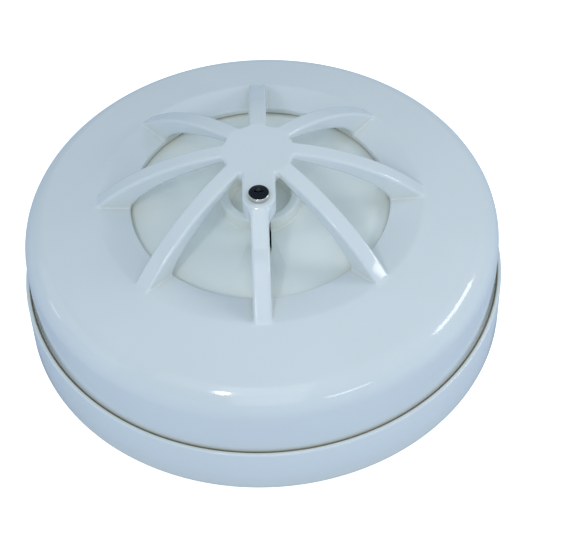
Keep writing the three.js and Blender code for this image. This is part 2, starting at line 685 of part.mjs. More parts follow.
piece('head_chassis', makeChassis(), INNER_ABS);
terminalAngles().forEach((at, i) => {
  piece(`contact_blade_${i + 1}`, turned(makeContactBlade(), at), BRONZE);
  piece(`blade_rivet_${i + 1}`, turned(makeBladeRivet(), at), NICKEL);
});
piece('circuit_board', makeBoard(), BOARD_GREEN);
assemblyAngles().forEach((at, i) => {
  const p = polar(ASSEMBLY_SCREW_R, at);
  piece(`assembly_screw_${i + 1}`, makeAssemblyScrew().translate([p.x, p.y, 0]), ZINC);
});
piece('sensor_plate', makeSensorPlate(), INNER_ABS);
piece('thermistor_sleeve', makeSleeve(), SLEEVE_WHITE);
piece('thermistor_bead', makeBead(), BEAD_GREEN);
[-LEAD_X, LEAD_X].forEach((x, i) => {
  const lead = cylinder(0.25, PART_ON_BOARD_Z, BEAD_BASE - 0.1, x, 0, 8);
  piece(`thermistor_lead_${i + 1}`, lead, NICKEL);
});

// Components stand on the board at a radius and an angle, turned so that their X runs round the board.
function onBoard(name, manifold, radius, degrees, look) {
  const p = polar(radius, degrees);
  piece(name, turned(manifold, degrees + 90).translate([p.x, p.y, 0]), look);
}
const OUTER_ROW = 35;
onBoard('microcontroller', chipPackage(10, 7.4, 2.2, 8), 12, 40, BLACK_EPOXY);
onBoard('bridge_rectifier', chipPackage(8, 6.4, 2.4, 2), 13, 150, BLACK_EPOXY);
onBoard('smoothing_capacitor', makeCapacitor(), OUTER_ROW, 20, BLACK_EPOXY);
onBoard('surge_varistor', makeVaristor(), OUTER_ROW, 160, BLUE_EPOXY);
onBoard('output_transistor', makeTransistor(), OUTER_ROW, 200, BLACK_EPOXY);
onBoard('reference_thermistor', makeReferenceThermistor(), OUTER_ROW, 300, BEAD_GREEN);
[75, 105, 240, 262].forEach((at, i) => {
  onBoard(`resistor_${i + 1}`, makeResistor(), OUTER_ROW, at, RESISTOR_TAN);
});

piece('outer_cover', makeCover(), WHITE_ABS);
piece('retaining_screw', makeRetainingScrew(), DARK_SCREW);

export default detector;
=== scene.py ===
"""Point heat detector: the looks of its housing, cage, plug-in head and ceiling base.

Lengths are written in millimetres and turned to metres as each mesh is made. The frame gives where the
pieces are: z = 0 is the mounting face, +Z runs towards the cage and the rib with the screw points along -Y.
"""

import math

import bmesh
import bpy
import numpy as np
from mathutils import Matrix, Vector


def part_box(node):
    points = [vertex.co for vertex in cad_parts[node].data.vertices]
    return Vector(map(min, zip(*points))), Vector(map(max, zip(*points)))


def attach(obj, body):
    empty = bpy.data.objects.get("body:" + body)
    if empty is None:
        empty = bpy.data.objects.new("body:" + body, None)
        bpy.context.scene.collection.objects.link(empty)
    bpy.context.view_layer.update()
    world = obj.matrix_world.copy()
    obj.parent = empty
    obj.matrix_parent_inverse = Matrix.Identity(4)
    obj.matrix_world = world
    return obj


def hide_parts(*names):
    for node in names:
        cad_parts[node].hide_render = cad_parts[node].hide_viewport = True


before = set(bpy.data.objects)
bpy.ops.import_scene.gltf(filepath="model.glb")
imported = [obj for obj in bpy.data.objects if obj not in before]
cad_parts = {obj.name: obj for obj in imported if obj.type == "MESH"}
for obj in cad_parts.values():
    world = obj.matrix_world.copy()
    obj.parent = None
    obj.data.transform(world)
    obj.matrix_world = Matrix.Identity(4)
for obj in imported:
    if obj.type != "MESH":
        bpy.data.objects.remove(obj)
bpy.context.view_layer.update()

MM = 0.001
TAU = 2 * math.pi


def span(node):
    """A CAD node's lowest and highest corner, in millimetres."""
    low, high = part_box(node)
    return low / MM, high / MM


_, BASE_HIGH = span("base_dish")
COVER_LOW, COVER_HIGH = span("outer_cover")
PLATE_LOW, PLATE_HIGH = span("sensor_plate")
_, CHASSIS_HIGH = span("head_chassis")
BOARD_LOW, BOARD_HIGH = span("circuit_board")
SCREW_LOW, SCREW_HIGH = span("retaining_screw")

# ---- sizes that the pieces share, in millimetres
BITE = 0.2  # a moulded feature starts this far inside the wall that it stands on
PAST = 1.0  # a cutter reaches this far past the face that it cuts
CORNERS = (-1, -1), (1, -1), (1, 1), (-1, 1)

BASE_RADIUS, BASE_HEIGHT, BASE_FLOOR = BASE_HIGH.x, BASE_HIGH.z, 2.2
CABLE_ENTRY_RADIUS, CABLE_COLLAR_WALL, CABLE_COLLAR_HEIGHT = 11.0, 1.4, 1.8
BACK_GROOVE, BACK_GROOVE_DEPTH = (38.0, 42.0), 0.4
FIXING_SLOT, FIXING_SLOT_HALF = (22.9, 32.65), 2.5
RIM_RADIUS, LIP_INNER, LEDGE_Z, WALL_INNER = 49.8, 49.0, 10.0, 47.4
HOOK_INNER, HOOK_Z, HOOK_TOP = 43.0, 7.5, 9.0
LUG_HALF, HOOK_HALF, STOP_SPAN, RELEASE = 6, 7, 3, 18  # degrees round the axis
PAD_TOP, PAD_HALF, TERMINAL_R = 4.3, 4.6, 27.0
PLATE_Z, SHEET, CONTACT_Z, WASHER_Z, WASHER_HALF = 4.5, 0.8, 7.4, 5.5, 3.9
CLAMP_HOLE_RADIUS = 2.05

COVER_WALL = 2.0
COVER_FOOT_RADIUS, COVER_FOOT_Z = COVER_HIGH.x, COVER_LOW.z
CORNER_RADIUS, CORNER_Z = COVER_FOOT_RADIUS - 0.25, 25.2  # where the wall's line meets the top's
SHOULDER_RADIUS = 6.5
TOP_SLOPE = math.radians(16.5)
CREST_RADIUS = 32.8
CREST_Z = CORNER_Z + (CORNER_RADIUS - CREST_RADIUS) * math.tan(TOP_SLOPE)
OPENING_RADIUS, OPENING_Z = 26.1, 29.3
LIP_UNDERSIDE_Z = 28.0

RIB_COUNT, RIB_WIDTH, RIB_TAIL, RIB_SAG = 8, 3.5, (33.0, 29.7), 2.2
HUB_RADIUS, HUB_TOP, HUB_THICKNESS = 7.1, COVER_HIGH.z, 2.0
BOSS_RADIUS, BOSS_DEPTH = 3.2, 4.0
RAMP_TOP, RAMP_END = (15.7, 42.6), (22.0, 37.7)  # the screw's rib falls from the boss along this line
SCREW_Y = (SCREW_LOW.y + SCREW_HIGH.y) / 2
SCREW_HOLE_RADIUS = 1.2

FLOOR_Z = 27.9  # exposed face of the sensor plate
COLLAR_RADIUS, COLLAR_WALL = 8.1, 1.9
SLOT_START, SLOT_END, SLOT_HALF = 5.0, 14.4, 2.0  # from the axis towards the screw
CHASSIS_Z, CHASSIS_TOP = 12.0, 13.4
LUG_Z, LUG_INNER, LUG_OUTER = 5.6, 41.0, 44.6
ASSEMBLY_R, RIVET_R, PILLAR_RADIUS = 20.0, 34.0, 3.2
SHANK_HOLE_RADIUS = 1.8  # round assembly screws and rivets
POST_RADIUS, POST_TIP_RADIUS, POST_SHOULDER, POST_TOP = 3.0, 1.6, 25.8, 38.2
BLADE_TOP, BLADE_SHEET = CHASSIS_Z - 0.3, 0.7

LEAD_X, LEAD_RADIUS = 0.75, 0.25
COMPONENT_Z = BOARD_HIGH.z + 0.25  # components stand this high on their legs
LEG_RADIUS, THIN_LEG_RADIUS = 0.28, 0.22

OWN_PLACE = "from_axis"  # the mesh attribute that holds each point's place on its own part
SKIN_ANGLE = math.radians(32)  # edges sharper than this stay crisp


# ---- node trees
class Nodes:
    """A node tree being filled: add() makes a node, fills or wires its inputs and returns it."""

    def add(self, kind, inputs=None, **settings):
        node = self.tree.nodes.new(kind)
        for key, value in settings.items():
            setattr(node, key, value)
        for key, value in (inputs or {}).items():
            self.fill(node.inputs[key], value)
        return node

    def fill(self, socket, value):
        if isinstance(value, bpy.types.NodeSocket):
            self.tree.links.new(value, socket)
        else:
            socket.default_value = value

    def math(self, operation, a, b=0.0, clamp=False):
        return self.add("ShaderNodeMath", {0: a, 1: b}, operation=operation, use_clamp=clamp).outputs[0]

    def object_place(self):
        return self.add("ShaderNodeTexCoord").outputs["Object"]

    def own_place(self):
        return self.add("ShaderNodeAttribute", attribute_name=OWN_PLACE).outputs["Vector"]


class Tree(Nodes):
    """A node group with its named inputs and outputs."""

    def __init__(self, name, kind, inputs, outputs):
        self.tree = bpy.data.node_groups.new(name, kind)
        for label, socket, default in inputs:
            made = self.tree.interface.new_socket(label, in_out="INPUT", socket_type="NodeSocket" + socket)
            if default is not None:
                made.default_value = default
        for label, socket in outputs:
            self.tree.interface.new_socket(label, in_out="OUTPUT", socket_type="NodeSocket" + socket)
        self.given = self.tree.nodes.new("NodeGroupInput").outputs
        self.result = self.tree.nodes.new("NodeGroupOutput").inputs

    def whole(self, operation, a, b):
        return self.add("FunctionNodeIntegerMath", {0: a, 1: b}, operation=operation).outputs[0]

    def send(self, label, socket):
        self.tree.links.new(socket, self.result[label])
        return self.tree


class ShapeTree(Tree):
    """A geometry tree; each ends the same way: shaded, realized and given its material."""

    def __init__(self, name, inputs, takes_mesh=True):
        first = [("Geometry", "Geometry", None)] if takes_mesh else []
        super().__init__(name, "GeometryNodeTree", first + inputs + [("Material", "Material", None)],
                         [("Geometry", "Geometry")])

    def finish(self, geometry, smooth=True):
        shaded = self.add("GeometryNodeSetShadeSmooth", {"Geometry": geometry, "Shade Smooth": smooth})
        real = self.add("GeometryNodeRealizeInstances", {"Geometry": shaded.outputs[0]})
        dressed = self.add("GeometryNodeSetMaterial",
                           {"Geometry": real.outputs[0], "Material": self.given["Material"]})
        return self.send("Geometry", dressed.outputs[0])


def revolve_tree():
    """A profile of vertices in the XZ plane is swept round the Z axis."""
    tree = ShapeTree("revolve a profile", [("Segments", "Int", 96)])
    profile, segments = tree.given["Geometry"], tree.given["Segments"]
    count = tree.add("GeometryNodeAttributeDomainSize", {"Geometry": profile}).outputs["Point Count"]
    columns = tree.whole("ADD", segments, 1)
    grid = tree.add("GeometryNodeMeshGrid", {"Vertices X": count, "Vertices Y": columns})
    index = tree.add("GeometryNodeInputIndex").outputs[0]
    row = tree.whole("DIVIDE_FLOOR", index, columns)
    column = tree.whole("MODULO", index, columns)
    turn = tree.math("MULTIPLY", column, tree.math("DIVIDE", TAU, segments))
    place = tree.add("GeometryNodeInputPosition").outputs[0]
    sample = tree.add("GeometryNodeSampleIndex", {"Geometry": profile, "Value": place, "Index": row},
                      data_type="FLOAT_VECTOR", domain="POINT")
    swept = tree.add("ShaderNodeVectorRotate", {"Vector": sample.outputs[0], "Angle": turn},
                     rotation_type="Z_AXIS")
    moved = tree.add("GeometryNodeSetPosition",
                     {"Geometry": grid.outputs["Mesh"], "Position": swept.outputs[0]})
    joined = tree.add("GeometryNodeMergeByDistance", {"Geometry": moved.outputs[0], "Distance": 1e-6})
    return tree.finish(joined.outputs[0])


def ring_tree():
    """Copies of one shape stand round the Z axis, a fixed angle apart."""
    tree = ShapeTree("ring of copies",
                     [("Count", "Int", 3), ("First Angle", "Float", 0.0), ("Step Angle", "Float", 1.0)])
    points = tree.add("GeometryNodePoints", {"Count": tree.given["Count"]})
    index = tree.add("GeometryNodeInputIndex").outputs[0]
    swung = tree.math("MULTIPLY", index, tree.given["Step Angle"])
    angle = tree.math("ADD", swung, tree.given["First Angle"])
    euler = tree.add("ShaderNodeCombineXYZ", {"Z": angle}).outputs[0]
    turn = tree.add("FunctionNodeEulerToRotation", {0: euler}).outputs[0]
    copies = tree.add("GeometryNodeInstanceOnPoints", {
        "Points": points.outputs[0], "Instance": tree.given["Geometry"], "Rotation": turn})
    return tree.finish(copies.outputs[0], smooth=False)


def thread_tree():
    """A helical ridge of triangular section, which a screw's core stands inside."""
    tree = ShapeTree("screw thread", [("Radius", "Float", 0.001), ("Pitch", "Float", 0.0005),
                                      ("Turns", "Float", 8.0), ("Depth", "Float", 0.0002)], takes_mesh=False)
    radius, turns = tree.given["Radius"], tree.given["Turns"]
    helix = tree.add("GeometryNodeCurveSpiral", {
        "Resolution": 20, "Rotations": turns, "Start Radius": radius, "End Radius": radius,
        "Height": tree.math("MULTIPLY", tree.given["Pitch"], turns)})
    section = tree.add("GeometryNodeCurvePrimitiveCircle", {"Resolution": 4, "Radius": tree.given["Depth"]})
    ridge = tree.add("GeometryNodeCurveToMesh", {
        "Curve": helix.outputs[0], "Profile Curve": section.outputs[0], "Fill Caps": True})
    return tree.finish(ridge.outputs[0])


def row_tree():
    """Copies of one shape stand in a line along X, centred on the origin."""
    tree = ShapeTree("row of copies", [("Count", "Int", 4), ("Pitch", "Float", 0.001)])
    count = tree.given["Count"]
    index = tree.add("GeometryNodeInputIndex").outputs[0]
    middle = tree.math("MULTIPLY", tree.math("SUBTRACT", count, 1.0), 0.5)
    along = tree.math("MULTIPLY", tree.math("SUBTRACT", index, middle), tree.given["Pitch"])
    place = tree.add("ShaderNodeCombineXYZ", {"X": along}).outputs[0]
    points = tree.add("GeometryNodePoints", {"Count": count, "Position": place})
    copies = tree.add("GeometryNodeInstanceOnPoints", {
        "Points": points.outputs[0], "Instance": tree.given["Geometry"]})
    return tree.finish(copies.outputs[0], smooth=False)


REVOLVE, RING, THREAD, ROW = revolve_tree(), ring_tree(), thread_tree(), row_tree()


def standing(name, data):
    """A new object, linked to the scene."""
    thing = bpy.data.objects.new(name, data)
    bpy.context.scene.collection.objects.link(thing)
    return thing


def baked(thing):
    """The mesh that an object's modifiers end in."""
    return bpy.data.meshes.new_from_object(thing.evaluated_get(bpy.context.evaluated_depsgraph_get()))


def grow(tree, material, mesh=None, **values):
    """Runs a geometry tree and returns its result as a plain mesh."""
    holder = standing("holder", mesh or bpy.data.meshes.new("empty"))
    modifier = holder.modifiers.new("tree", "NODES")
    modifier.node_group = tree
    named = {label.replace("_", " "): value for label, value in values.items()} | {"Material": material}
    for item in tree.interface.items_tree:
        if item.in_out == "INPUT" and item.name in named:
            modifier[item.identifier] = named[item.name]
    made = baked(holder)
    bpy.data.objects.remove(holder)
    return made


# ---- meshes
def mesh_of(points, faces, material=None):
    """Points in millimetres and their faces, as a mesh in metres."""
    mesh = bpy.data.meshes.new("part")
    mesh.from_pydata((np.asarray(points, float) * MM).tolist(), [], faces)
    if material:
        mesh.materials.append(material)
    return mesh


def arc(r, z, radius, start, end, steps):
    """Points of an arc in a profile, both ends included, angles in degrees."""
    angles = np.radians(np.linspace(start, end, steps + 1))
    return [(r + radius * math.cos(a), z + radius * math.sin(a)) for a in angles]


def rounded(corners, closed=True, steps=4):
    """A polyline whose corners (r, z, radius) are rounded with arcs; a radius may be left out."""
    points = []
    for i, corner in enumerate(corners):
        here = Vector(corner[:2])
        radius = corner[2] if len(corner) > 2 else 0
        if not radius or (not closed and i in (0, len(corners) - 1)):
            points.append(tuple(here))
            continue
        before = (Vector(corners[i - 1][:2]) - here).normalized()
        after = (Vector(corners[(i + 1) % len(corners)][:2]) - here).normalized()
        half = before.angle(after) / 2
        middle = here + (before + after).normalized() * (radius / math.sin(half))
        first = here + before * (radius / math.tan(half)) - middle
        swing = first.angle_signed(here + after * (radius / math.tan(half)) - middle)
        for step in range(steps + 1):
            points.append(tuple(middle + Matrix.Rotation(-swing * step / steps, 2) @ first))
    return points


def lathe(profile, material, segments=96, closed=True):
    """A profile of (radius, z) points, swept round the axis."""
    ring = list(profile) + ([profile[0]] if closed else [])
    spine = mesh_of([(r, 0, z) for r, z in ring], [])
    return tidy(grow(REVOLVE, material, spine, Segments=segments))


def tidy(mesh, angle=SKIN_ANGLE):
    """Doubles merged, faces outward, and edges crisp only where they are sharp."""
    work = bmesh.new()
    work.from_mesh(mesh)
    bmesh.ops.remove_doubles(work, verts=work.verts, dist=1e-7)
    bmesh.ops.dissolve_degenerate(work, edges=work.edges, dist=1e-7)
    bmesh.ops.recalc_face_normals(work, faces=work.faces)
    work.to_mesh(mesh)
    work.free()
    mesh.shade_smooth()
    mesh.set_sharp_from_angle(angle=angle)
    return mesh


def prism(outline, z0, z1, material=None):
    """A flat outline of (x, y) points, raised from z0 to z1."""
    count = len(outline)
    points = [(x, y, z) for z in (z0, z1) for x, y in outline]
    sides = [(i, (i + 1) % count, count + (i + 1) % count, count + i) for i in range(count)]
    ends = [tuple(range(count)), tuple(range(count, 2 * count))]
    return tidy(mesh_of(points, ends + sides, material))


def turned(corners, material, segments, steps=4):
    """A solid turned from half its outline, which starts and ends on the axis."""
    return lathe(rounded(corners, closed=False, steps=steps), material, segments, closed=False)


def strip(outline, width, material):
    """Sheet metal: a side outline of (x, z) points, given width along Y."""
    mesh = prism(outline, -width / 2, width / 2, material)
    mesh.transform(Matrix.Rotation(math.pi / 2, 4, "X"))
    return tidy(mesh)


def hole(radius, x, z0, z1, segments=32):
    """A round cutter, or pin, along Z."""
    return placed(lathe([(0, z0), (radius, z0), (radius, z1), (0, z1)], None, segments, closed=False), x=x)


def slab(x0, x1, y0, y1, z0, z1):
    return prism([(x0, y0), (x1, y0), (x1, y1), (x0, y1)], z0, z1)


def stadium(x0, x1, half, steps=12):
    """A slot's outline along X between two x values, with round ends."""
    right = arc(x1 - half, 0, half, -90, 90, steps)
    return right + arc(x0 + half, 0, half, 90, 270, steps)


def sector(r0, r1, start, end, steps=6):
    """The outline of a piece of a ring, angles in degrees."""
    return arc(0, 0, r1, start, end, steps) + arc(0, 0, r0, end, start, steps)


def placed(mesh, x=0.0, y=0.0, z=0.0, turn=0.0, flip=False):
    """A copy of a mesh: flipped over X if asked, then shifted, then turned round the Z axis by degrees."""
    copy = mesh.copy()
    if flip:
        copy.transform(Matrix.Rotation(math.pi, 4, "X"))
    copy.transform(Matrix.Translation(Vector((x, y, z)) * MM))
    copy.transform(Matrix.Rotation(math.radians(turn), 4, "Z"))
    return copy


def ring_of(mesh, count, first=0.0, step=None):
    """Copies of a mesh round the axis, angles in degrees."""
    step = 360 / count if step is None else step
    return grow(RING, None, mesh, Count=count, First_Angle=math.radians(first),
                Step_Angle=math.radians(step))


def joined(*meshes, material=None):
    """Several meshes as one, each keeping its own material slot unless one is given for all."""
    work = bmesh.new()
    slots = []
    for mesh in meshes:
        used = [material] if material else list(mesh.materials) or [None]
        first = len(work.faces)
        work.from_mesh(mesh)
        work.faces.ensure_lookup_table()
        places = []
        for look in used:
            if look not in slots:
                slots.append(look)
            places.append(slots.index(look))
        for face in work.faces[first:]:
            face.material_index = places[min(face.material_index, len(places) - 1)]
    whole = bpy.data.meshes.new("part")
    work.to_mesh(whole)
    work.free()
    for look in slots:
        whole.materials.append(look)
    return whole


SELF_CROSSING_FACES = 200  # a tool this fine may be several copies that cross one another


def carved(mesh, cuts=(), adds=(), bevel=0.0):
    """A mesh with others joined to it, then others cut out of it, then its sharp edges rounded."""
    body = standing("body", mesh)
    tools = []
    for operation, meshes in (("UNION", adds), ("DIFFERENCE", cuts)):
        for tool_mesh in meshes:
            tool = standing("tool", tool_mesh)
            tool.hide_render = True
            tools.append(tool)
            step = body.modifiers.new("boolean", "BOOLEAN")
            step.operation, step.object, step.solver = operation, tool, "EXACT"
            step.use_self = len(tool_mesh.polygons) > SELF_CROSSING_FACES
    if bevel:
        edge = body.modifiers.new("bevel", "BEVEL")
        edge.width, edge.segments, edge.limit_method = bevel * MM, 2, "ANGLE"
        edge.angle_limit, edge.harden_normals = SKIN_ANGLE, False
    made = baked(body)
    for thing in [body, *tools]:
        bpy.data.objects.remove(thing)
    return tidy(made)


def marked(mesh):
    """A mesh remembers each point's place before the part is moved to where it stands."""
    place = mesh.attributes.get(OWN_PLACE) or mesh.attributes.new(OWN_PLACE, "FLOAT_VECTOR", "POINT")
    flat = np.empty(len(mesh.vertices) * 3, np.float32)
    mesh.vertices.foreach_get("co", flat)
    place.data.foreach_set("vector", flat)
    return mesh


def piece(name, mesh, body, slot, *nodes):
    """A finished mesh becomes a piece: it rides on its body and stands for its CAD nodes."""
    mesh.name = name
    thing = standing(name, mesh)
    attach(thing, body)
    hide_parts(*nodes)


# ---- shader groups
class MaskTree(Tree):
    """A shader group that puts out one value."""

    def __init__(self, name, result, **sizes):
        super().__init__(name, "ShaderNodeTree",
                         [(label.replace("_", " "), "Float", value) for label, value in sizes.items()],
                         [(result, "Float")])
        self.label = result

    def noise(self, vector, size, detail, distortion=0.0):
        """Noise whose grain is as large as a named input."""
        scale = self.math("DIVIDE", 1.0, self.given[size])
        return self.add("ShaderNodeTexNoise", {"Vector": vector, "Scale": scale, "Detail": detail,
                                               "Distortion": distortion}).outputs[0]

    def shut_in(self, inside=False):
        """How closely the surface round a point shuts it in, or how thin the material is behind it."""
        near = self.add("ShaderNodeAmbientOcclusion", {"Distance": self.given["Reach"]}, samples=6,
                        inside=inside)
        return self.math("SUBTRACT", 1.0, near.outputs["AO"])

    def done(self, value):
        return self.send(self.label, value)


def mottle_group():
    """Slow drift of tone in a moulding, with the faint flow lines of the melt: a value round 0.5."""
    tree = MaskTree("mottle", "Value", Size=0.02)
    return tree.done(tree.noise(tree.object_place(), "Size", 3.0, 0.6))


def skin_group():
    """Height of a moulded skin: a soft orange peel under a fine tool texture."""
    tree = MaskTree("moulded skin", "Height", Peel_Size=0.003, Grain_Size=0.0003, Grain=0.2)
    where = tree.object_place()
    grain = tree.math("MULTIPLY", tree.noise(where, "Grain Size", 2.0), tree.given["Grain"])
    return tree.done(tree.math("ADD", tree.noise(where, "Peel Size", 1.5), grain))


def crevice_group():
    """Near 1 deep in corners and gaps, 0 on open faces: an ambient occlusion mask of where shade falls."""
    tree = MaskTree("crevice", "Mask", Reach=0.002)
    open_share, contrast = 0.25, 1.6
    beyond = tree.math("SUBTRACT", tree.shut_in(), open_share)
    return tree.done(tree.math("MULTIPLY", beyond, contrast, clamp=True))


def worn_and_glint_edge_group():
    """Near 1 along outward edges, broken up by noise: where hands and tools rub, and where the materials
    paint lighter edges as highlights and glints.
    """
    tree = MaskTree("worn and glint edge", "Mask", Reach=0.0004, Break_Up=0.0015)
    spared, contrast = 0.9, 2.5
    patch = tree.math("MULTIPLY", tree.noise(tree.object_place(), "Break Up", 3.0), spared)
    edge_wear_glint = tree.math("SUBTRACT", tree.shut_in(inside=True), patch)
    return tree.done(tree.math("MULTIPLY", edge_wear_glint, contrast, clamp=True))


def scuff_group():
    """Fine hairline scuffs in two crossing directions, as left by wiping and handling."""
    tree = MaskTree("scuffs", "Mask", Size=0.01)
    where = tree.object_place()
    stretch, threshold, contrast = 22.0, 0.62, 6.0
    lines = []
    for turn in (0.5, 2.1):
        stretched = tree.add("ShaderNodeMapping", {
            "Vector": where, "Rotation": (0.2, 0.1, turn), "Scale": (1.0, stretch, 1.0)})
        noise = tree.noise(stretched.outputs[0], "Size", 2.0)
        lines.append(tree.math("MULTIPLY", tree.math("SUBTRACT", noise, threshold), contrast, clamp=True))
    return tree.done(tree.math("MAXIMUM", *lines))


def turned_group():
    """Turning marks round a small part's own Z axis, which its mesh holds: a value round 0.5."""
    tree = MaskTree("turning marks", "Value", Pitch=0.0001)
    x, y, z = tree.add("ShaderNodeSeparateXYZ", {0: tree.own_place()}).outputs
    squares = tree.math("ADD", tree.math("POWER", x, 2.0), tree.math("POWER", y, 2.0))
    ringed = tree.add("ShaderNodeCombineXYZ", {"X": tree.math("SQRT", squares), "Z": z}).outputs[0]
    return tree.done(tree.noise(ringed, "Pitch", 2.0))


MOTTLE, SKIN, CREVICE = mottle_group(), skin_group(), crevice_group()
WORN_GLINT, SCUFF, TURNED = worn_and_glint_edge_group(), scuff_group(), turned_group()


class Look(Nodes):
    """A material being built round one Principled BSDF, whose plain values go straight on its sockets."""

    def __init__(self, name, color, roughness, **plain):
        self.material = bpy.data.materials.new(name)
        self.material.use_nodes = True
        self.tree = self.material.node_tree
        self.shader = self.tree.nodes["Principled BSDF"]
        self.set("Base Color", (*color, 1.0))
        self.set("Roughness", roughness)
        for label, value in plain.items():
            self.set(label.replace("_", " "), value)

    def set(self, label, value):
        self.fill(self.shader.inputs[label], value)

    def group(self, group, **inputs):
        named = {label.replace("_", " "): value for label, value in inputs.items()}
        return self.add("ShaderNodeGroup", named, node_tree=group).outputs[0]

    def blend(self, a, b, factor):
        """Colour a to colour b by a mask; each may be a tuple or a socket."""
        a, b = (color if isinstance(color, bpy.types.NodeSocket) else (*color, 1.0) for color in (a, b))
        return self.add("ShaderNodeMix", {0: factor, 6: a, 7: b}, data_type="RGBA").outputs[2]

    def share(self, mask, part):
        return self.math("MULTIPLY", mask, part)

    def spread(self, value, low, high):
        """A value round 0 to 1, spread over a range."""
        return self.add("ShaderNodeMapRange", {"Value": value, "To Min": low, "To Max": high}).outputs[0]

    def bump(self, height, distance, strength=1.0):
        node = self.add("ShaderNodeBump", {"Height": height, "Distance": distance, "Strength": strength})
        self.set("Normal", node.outputs[0])


def shade(color, factor):
    return tuple(c * factor for c in color)


# ---- materials
def moulded(name, color, dust_and_shade, roughness, peel, grain):
    """Moulded ABS: tone drift, dust with painted shade in corners, a painted cream shade where it stands in
    its own shade, edges lighter by wear and a painted highlight, scuffs that dull the gloss, and a soft
    orange peel.
    """
    look = Look(name, color, roughness, IOR=1.5)
    drift = look.group(MOTTLE, Size=0.022)
    tone = look.blend(shade(color, 0.965), shade(color, 1.03), drift)
    # Dust and painted shade: corners and gaps are darkened towards a dust colour.
    crevice = look.group(CREVICE, Reach=0.0016)
    # Painted shade: faces in their own shade are tinted cream.
    shaded = look.group(CREVICE, Reach=0.009)
    shade_warmed = look.blend(tone, SHADE_CREAM, look.share(shaded, 0.55))
    dust_shade_tone = look.blend(shade_warmed, dust_and_shade, look.share(crevice, 0.6))
    # Outward edges lighter: partly wear, partly a painted edge highlight.
    edge = look.group(WORN_GLINT, Reach=0.0003, Break_Up=0.003)
    look.set("Base Color", look.blend(dust_shade_tone, shade(color, 1.08), look.share(edge, 0.2)))
    scuffs = look.group(SCUFF, Size=0.012)
    dull = look.math("ADD", look.share(scuffs, 0.03), look.share(crevice, 0.35))
    look.set("Roughness", look.math("ADD", dull, look.spread(drift, roughness * 0.8, roughness * 1.2)))
    look.bump(look.group(SKIN, Peel_Size=0.004, Grain_Size=0.00035, Grain=grain), peel)
    return look.material


SHADE_CREAM = (0.74, 0.69, 0.52)  # painted warm shade: the white plastic is tinted cream where the occlusion mask finds it in its own shade
# The third colour is the dust and painted shade in corners.
HOUSING = moulded("housing_gloss_white", (0.73, 0.80, 0.84), (0.46, 0.42, 0.28), 0.1, 0.00003, 0.03)
INNER = moulded("inner_satin_white", (0.80, 0.87, 0.87), (0.48, 0.46, 0.38), 0.3, 0.00004, 0.2)


def plated(name, color, roughness, edge_wear_glint=None, flank=None):
    """Plated metal: turning marks, edges lighter by wear and by painted glints, and dirt with painted shade
    darkening its corners; a flank may be painted bright as a reflection.
    """
    look = Look(name, color, roughness, Metallic=1.0)
    marks = look.group(TURNED, Pitch=0.00012)
    tone = look.blend(shade(color, 0.75), shade(color, 1.25), marks)
    # Painted reflection: the flank outside this radius takes a bright colour.
    if flank:
        radius, bright = flank
        local = look.own_place()
        flat = look.add("ShaderNodeVectorMath", {0: local, 1: (1, 1, 0)}, operation="MULTIPLY").outputs[0]
        away = look.add("ShaderNodeVectorMath", {0: flat}, operation="LENGTH").outputs["Value"]
        tone = look.blend(tone, bright, look.math("GREATER_THAN", away, radius))
    # Dirt and painted shade: corners are darkened to near black.
    dirt_and_shade = look.group(CREVICE, Reach=0.0006)
    dirt_shade_tone = look.blend(tone, (0.01, 0.01, 0.009), dirt_and_shade)
    # Outward edges lighter: partly wear, partly painted glints.
    edge = look.group(WORN_GLINT, Reach=0.00022, Break_Up=0.0004)
    look.set("Base Color", look.blend(dirt_shade_tone, edge_wear_glint or shade(color, 1.5), look.share(edge, 0.8)))
    polish = look.spread(marks, roughness * 0.7, roughness * 1.4)
    look.set("Roughness", look.math("ADD", polish, look.share(dirt_and_shade, 0.4)))
    look.bump(marks, 0.00001, 0.6)
    return look.material


# A chrome screw whose head top is painted near black as a dark reflection, with painted glints on its edges
# and a painted bright reflection on its flank.
SCREW_PAINTED_REFLECTIONS = plated("chrome_with_painted_reflections", (0.03, 0.034, 0.045), 0.16, (0.62, 0.62, 0.58),
                    (1.93 * MM, (0.70, 0.70, 0.66)))
NICKEL = plated("nickel_plate", (0.62, 0.58, 0.52), 0.24)
ZINC = plated("zinc_plate", (0.56, 0.58, 0.62), 0.34)
SOLDER = plated("solder", (0.60, 0.61, 0.62), 0.3)


def spring_bronze():
    """Rolled bronze strip: rolling marks along its length and a darker tarnish in blotches."""
    look = Look("spring_bronze", (0.60, 0.37, 0.17), 0.3, Metallic=1.0)
    rolling = look.group(SCUFF, Size=0.004)
    tarnish = look.group(MOTTLE, Size=0.004)
    tone = look.blend((0.42, 0.24, 0.12), (0.72, 0.47, 0.23), tarnish)
    look.set("Base Color", look.blend(tone, (0.85, 0.62, 0.36), look.share(rolling, 0.4)))
    look.set("Roughness", look.spread(tarnish, 0.2, 0.45))
    look.bump(rolling, 0.00001, 0.5)
    return look.material


def cast_epoxy(name, color, roughness, lump, grain):
    """Moulded or dipped epoxy: an uneven coat with a fine grain."""
    look = Look(name, color, roughness)
    drift = look.group(MOTTLE, Size=lump)
    edge = look.group(WORN_GLINT, Reach=0.0002, Break_Up=0.001)
    tone = look.blend(shade(color, 0.75), shade(color, 1.3), drift)
    # Edges lighter: partly wear, partly a painted edge highlight.
    look.set("Base Color", look.blend(tone, shade(color, 1.8), look.share(edge, 0.4)))
    look.set("Roughness", look.spread(drift, roughness * 0.75, roughness * 1.25))
    look.bump(look.group(SKIN, Peel_Size=lump, Grain_Size=0.0001, Grain=grain), 0.00003)
    return look.material


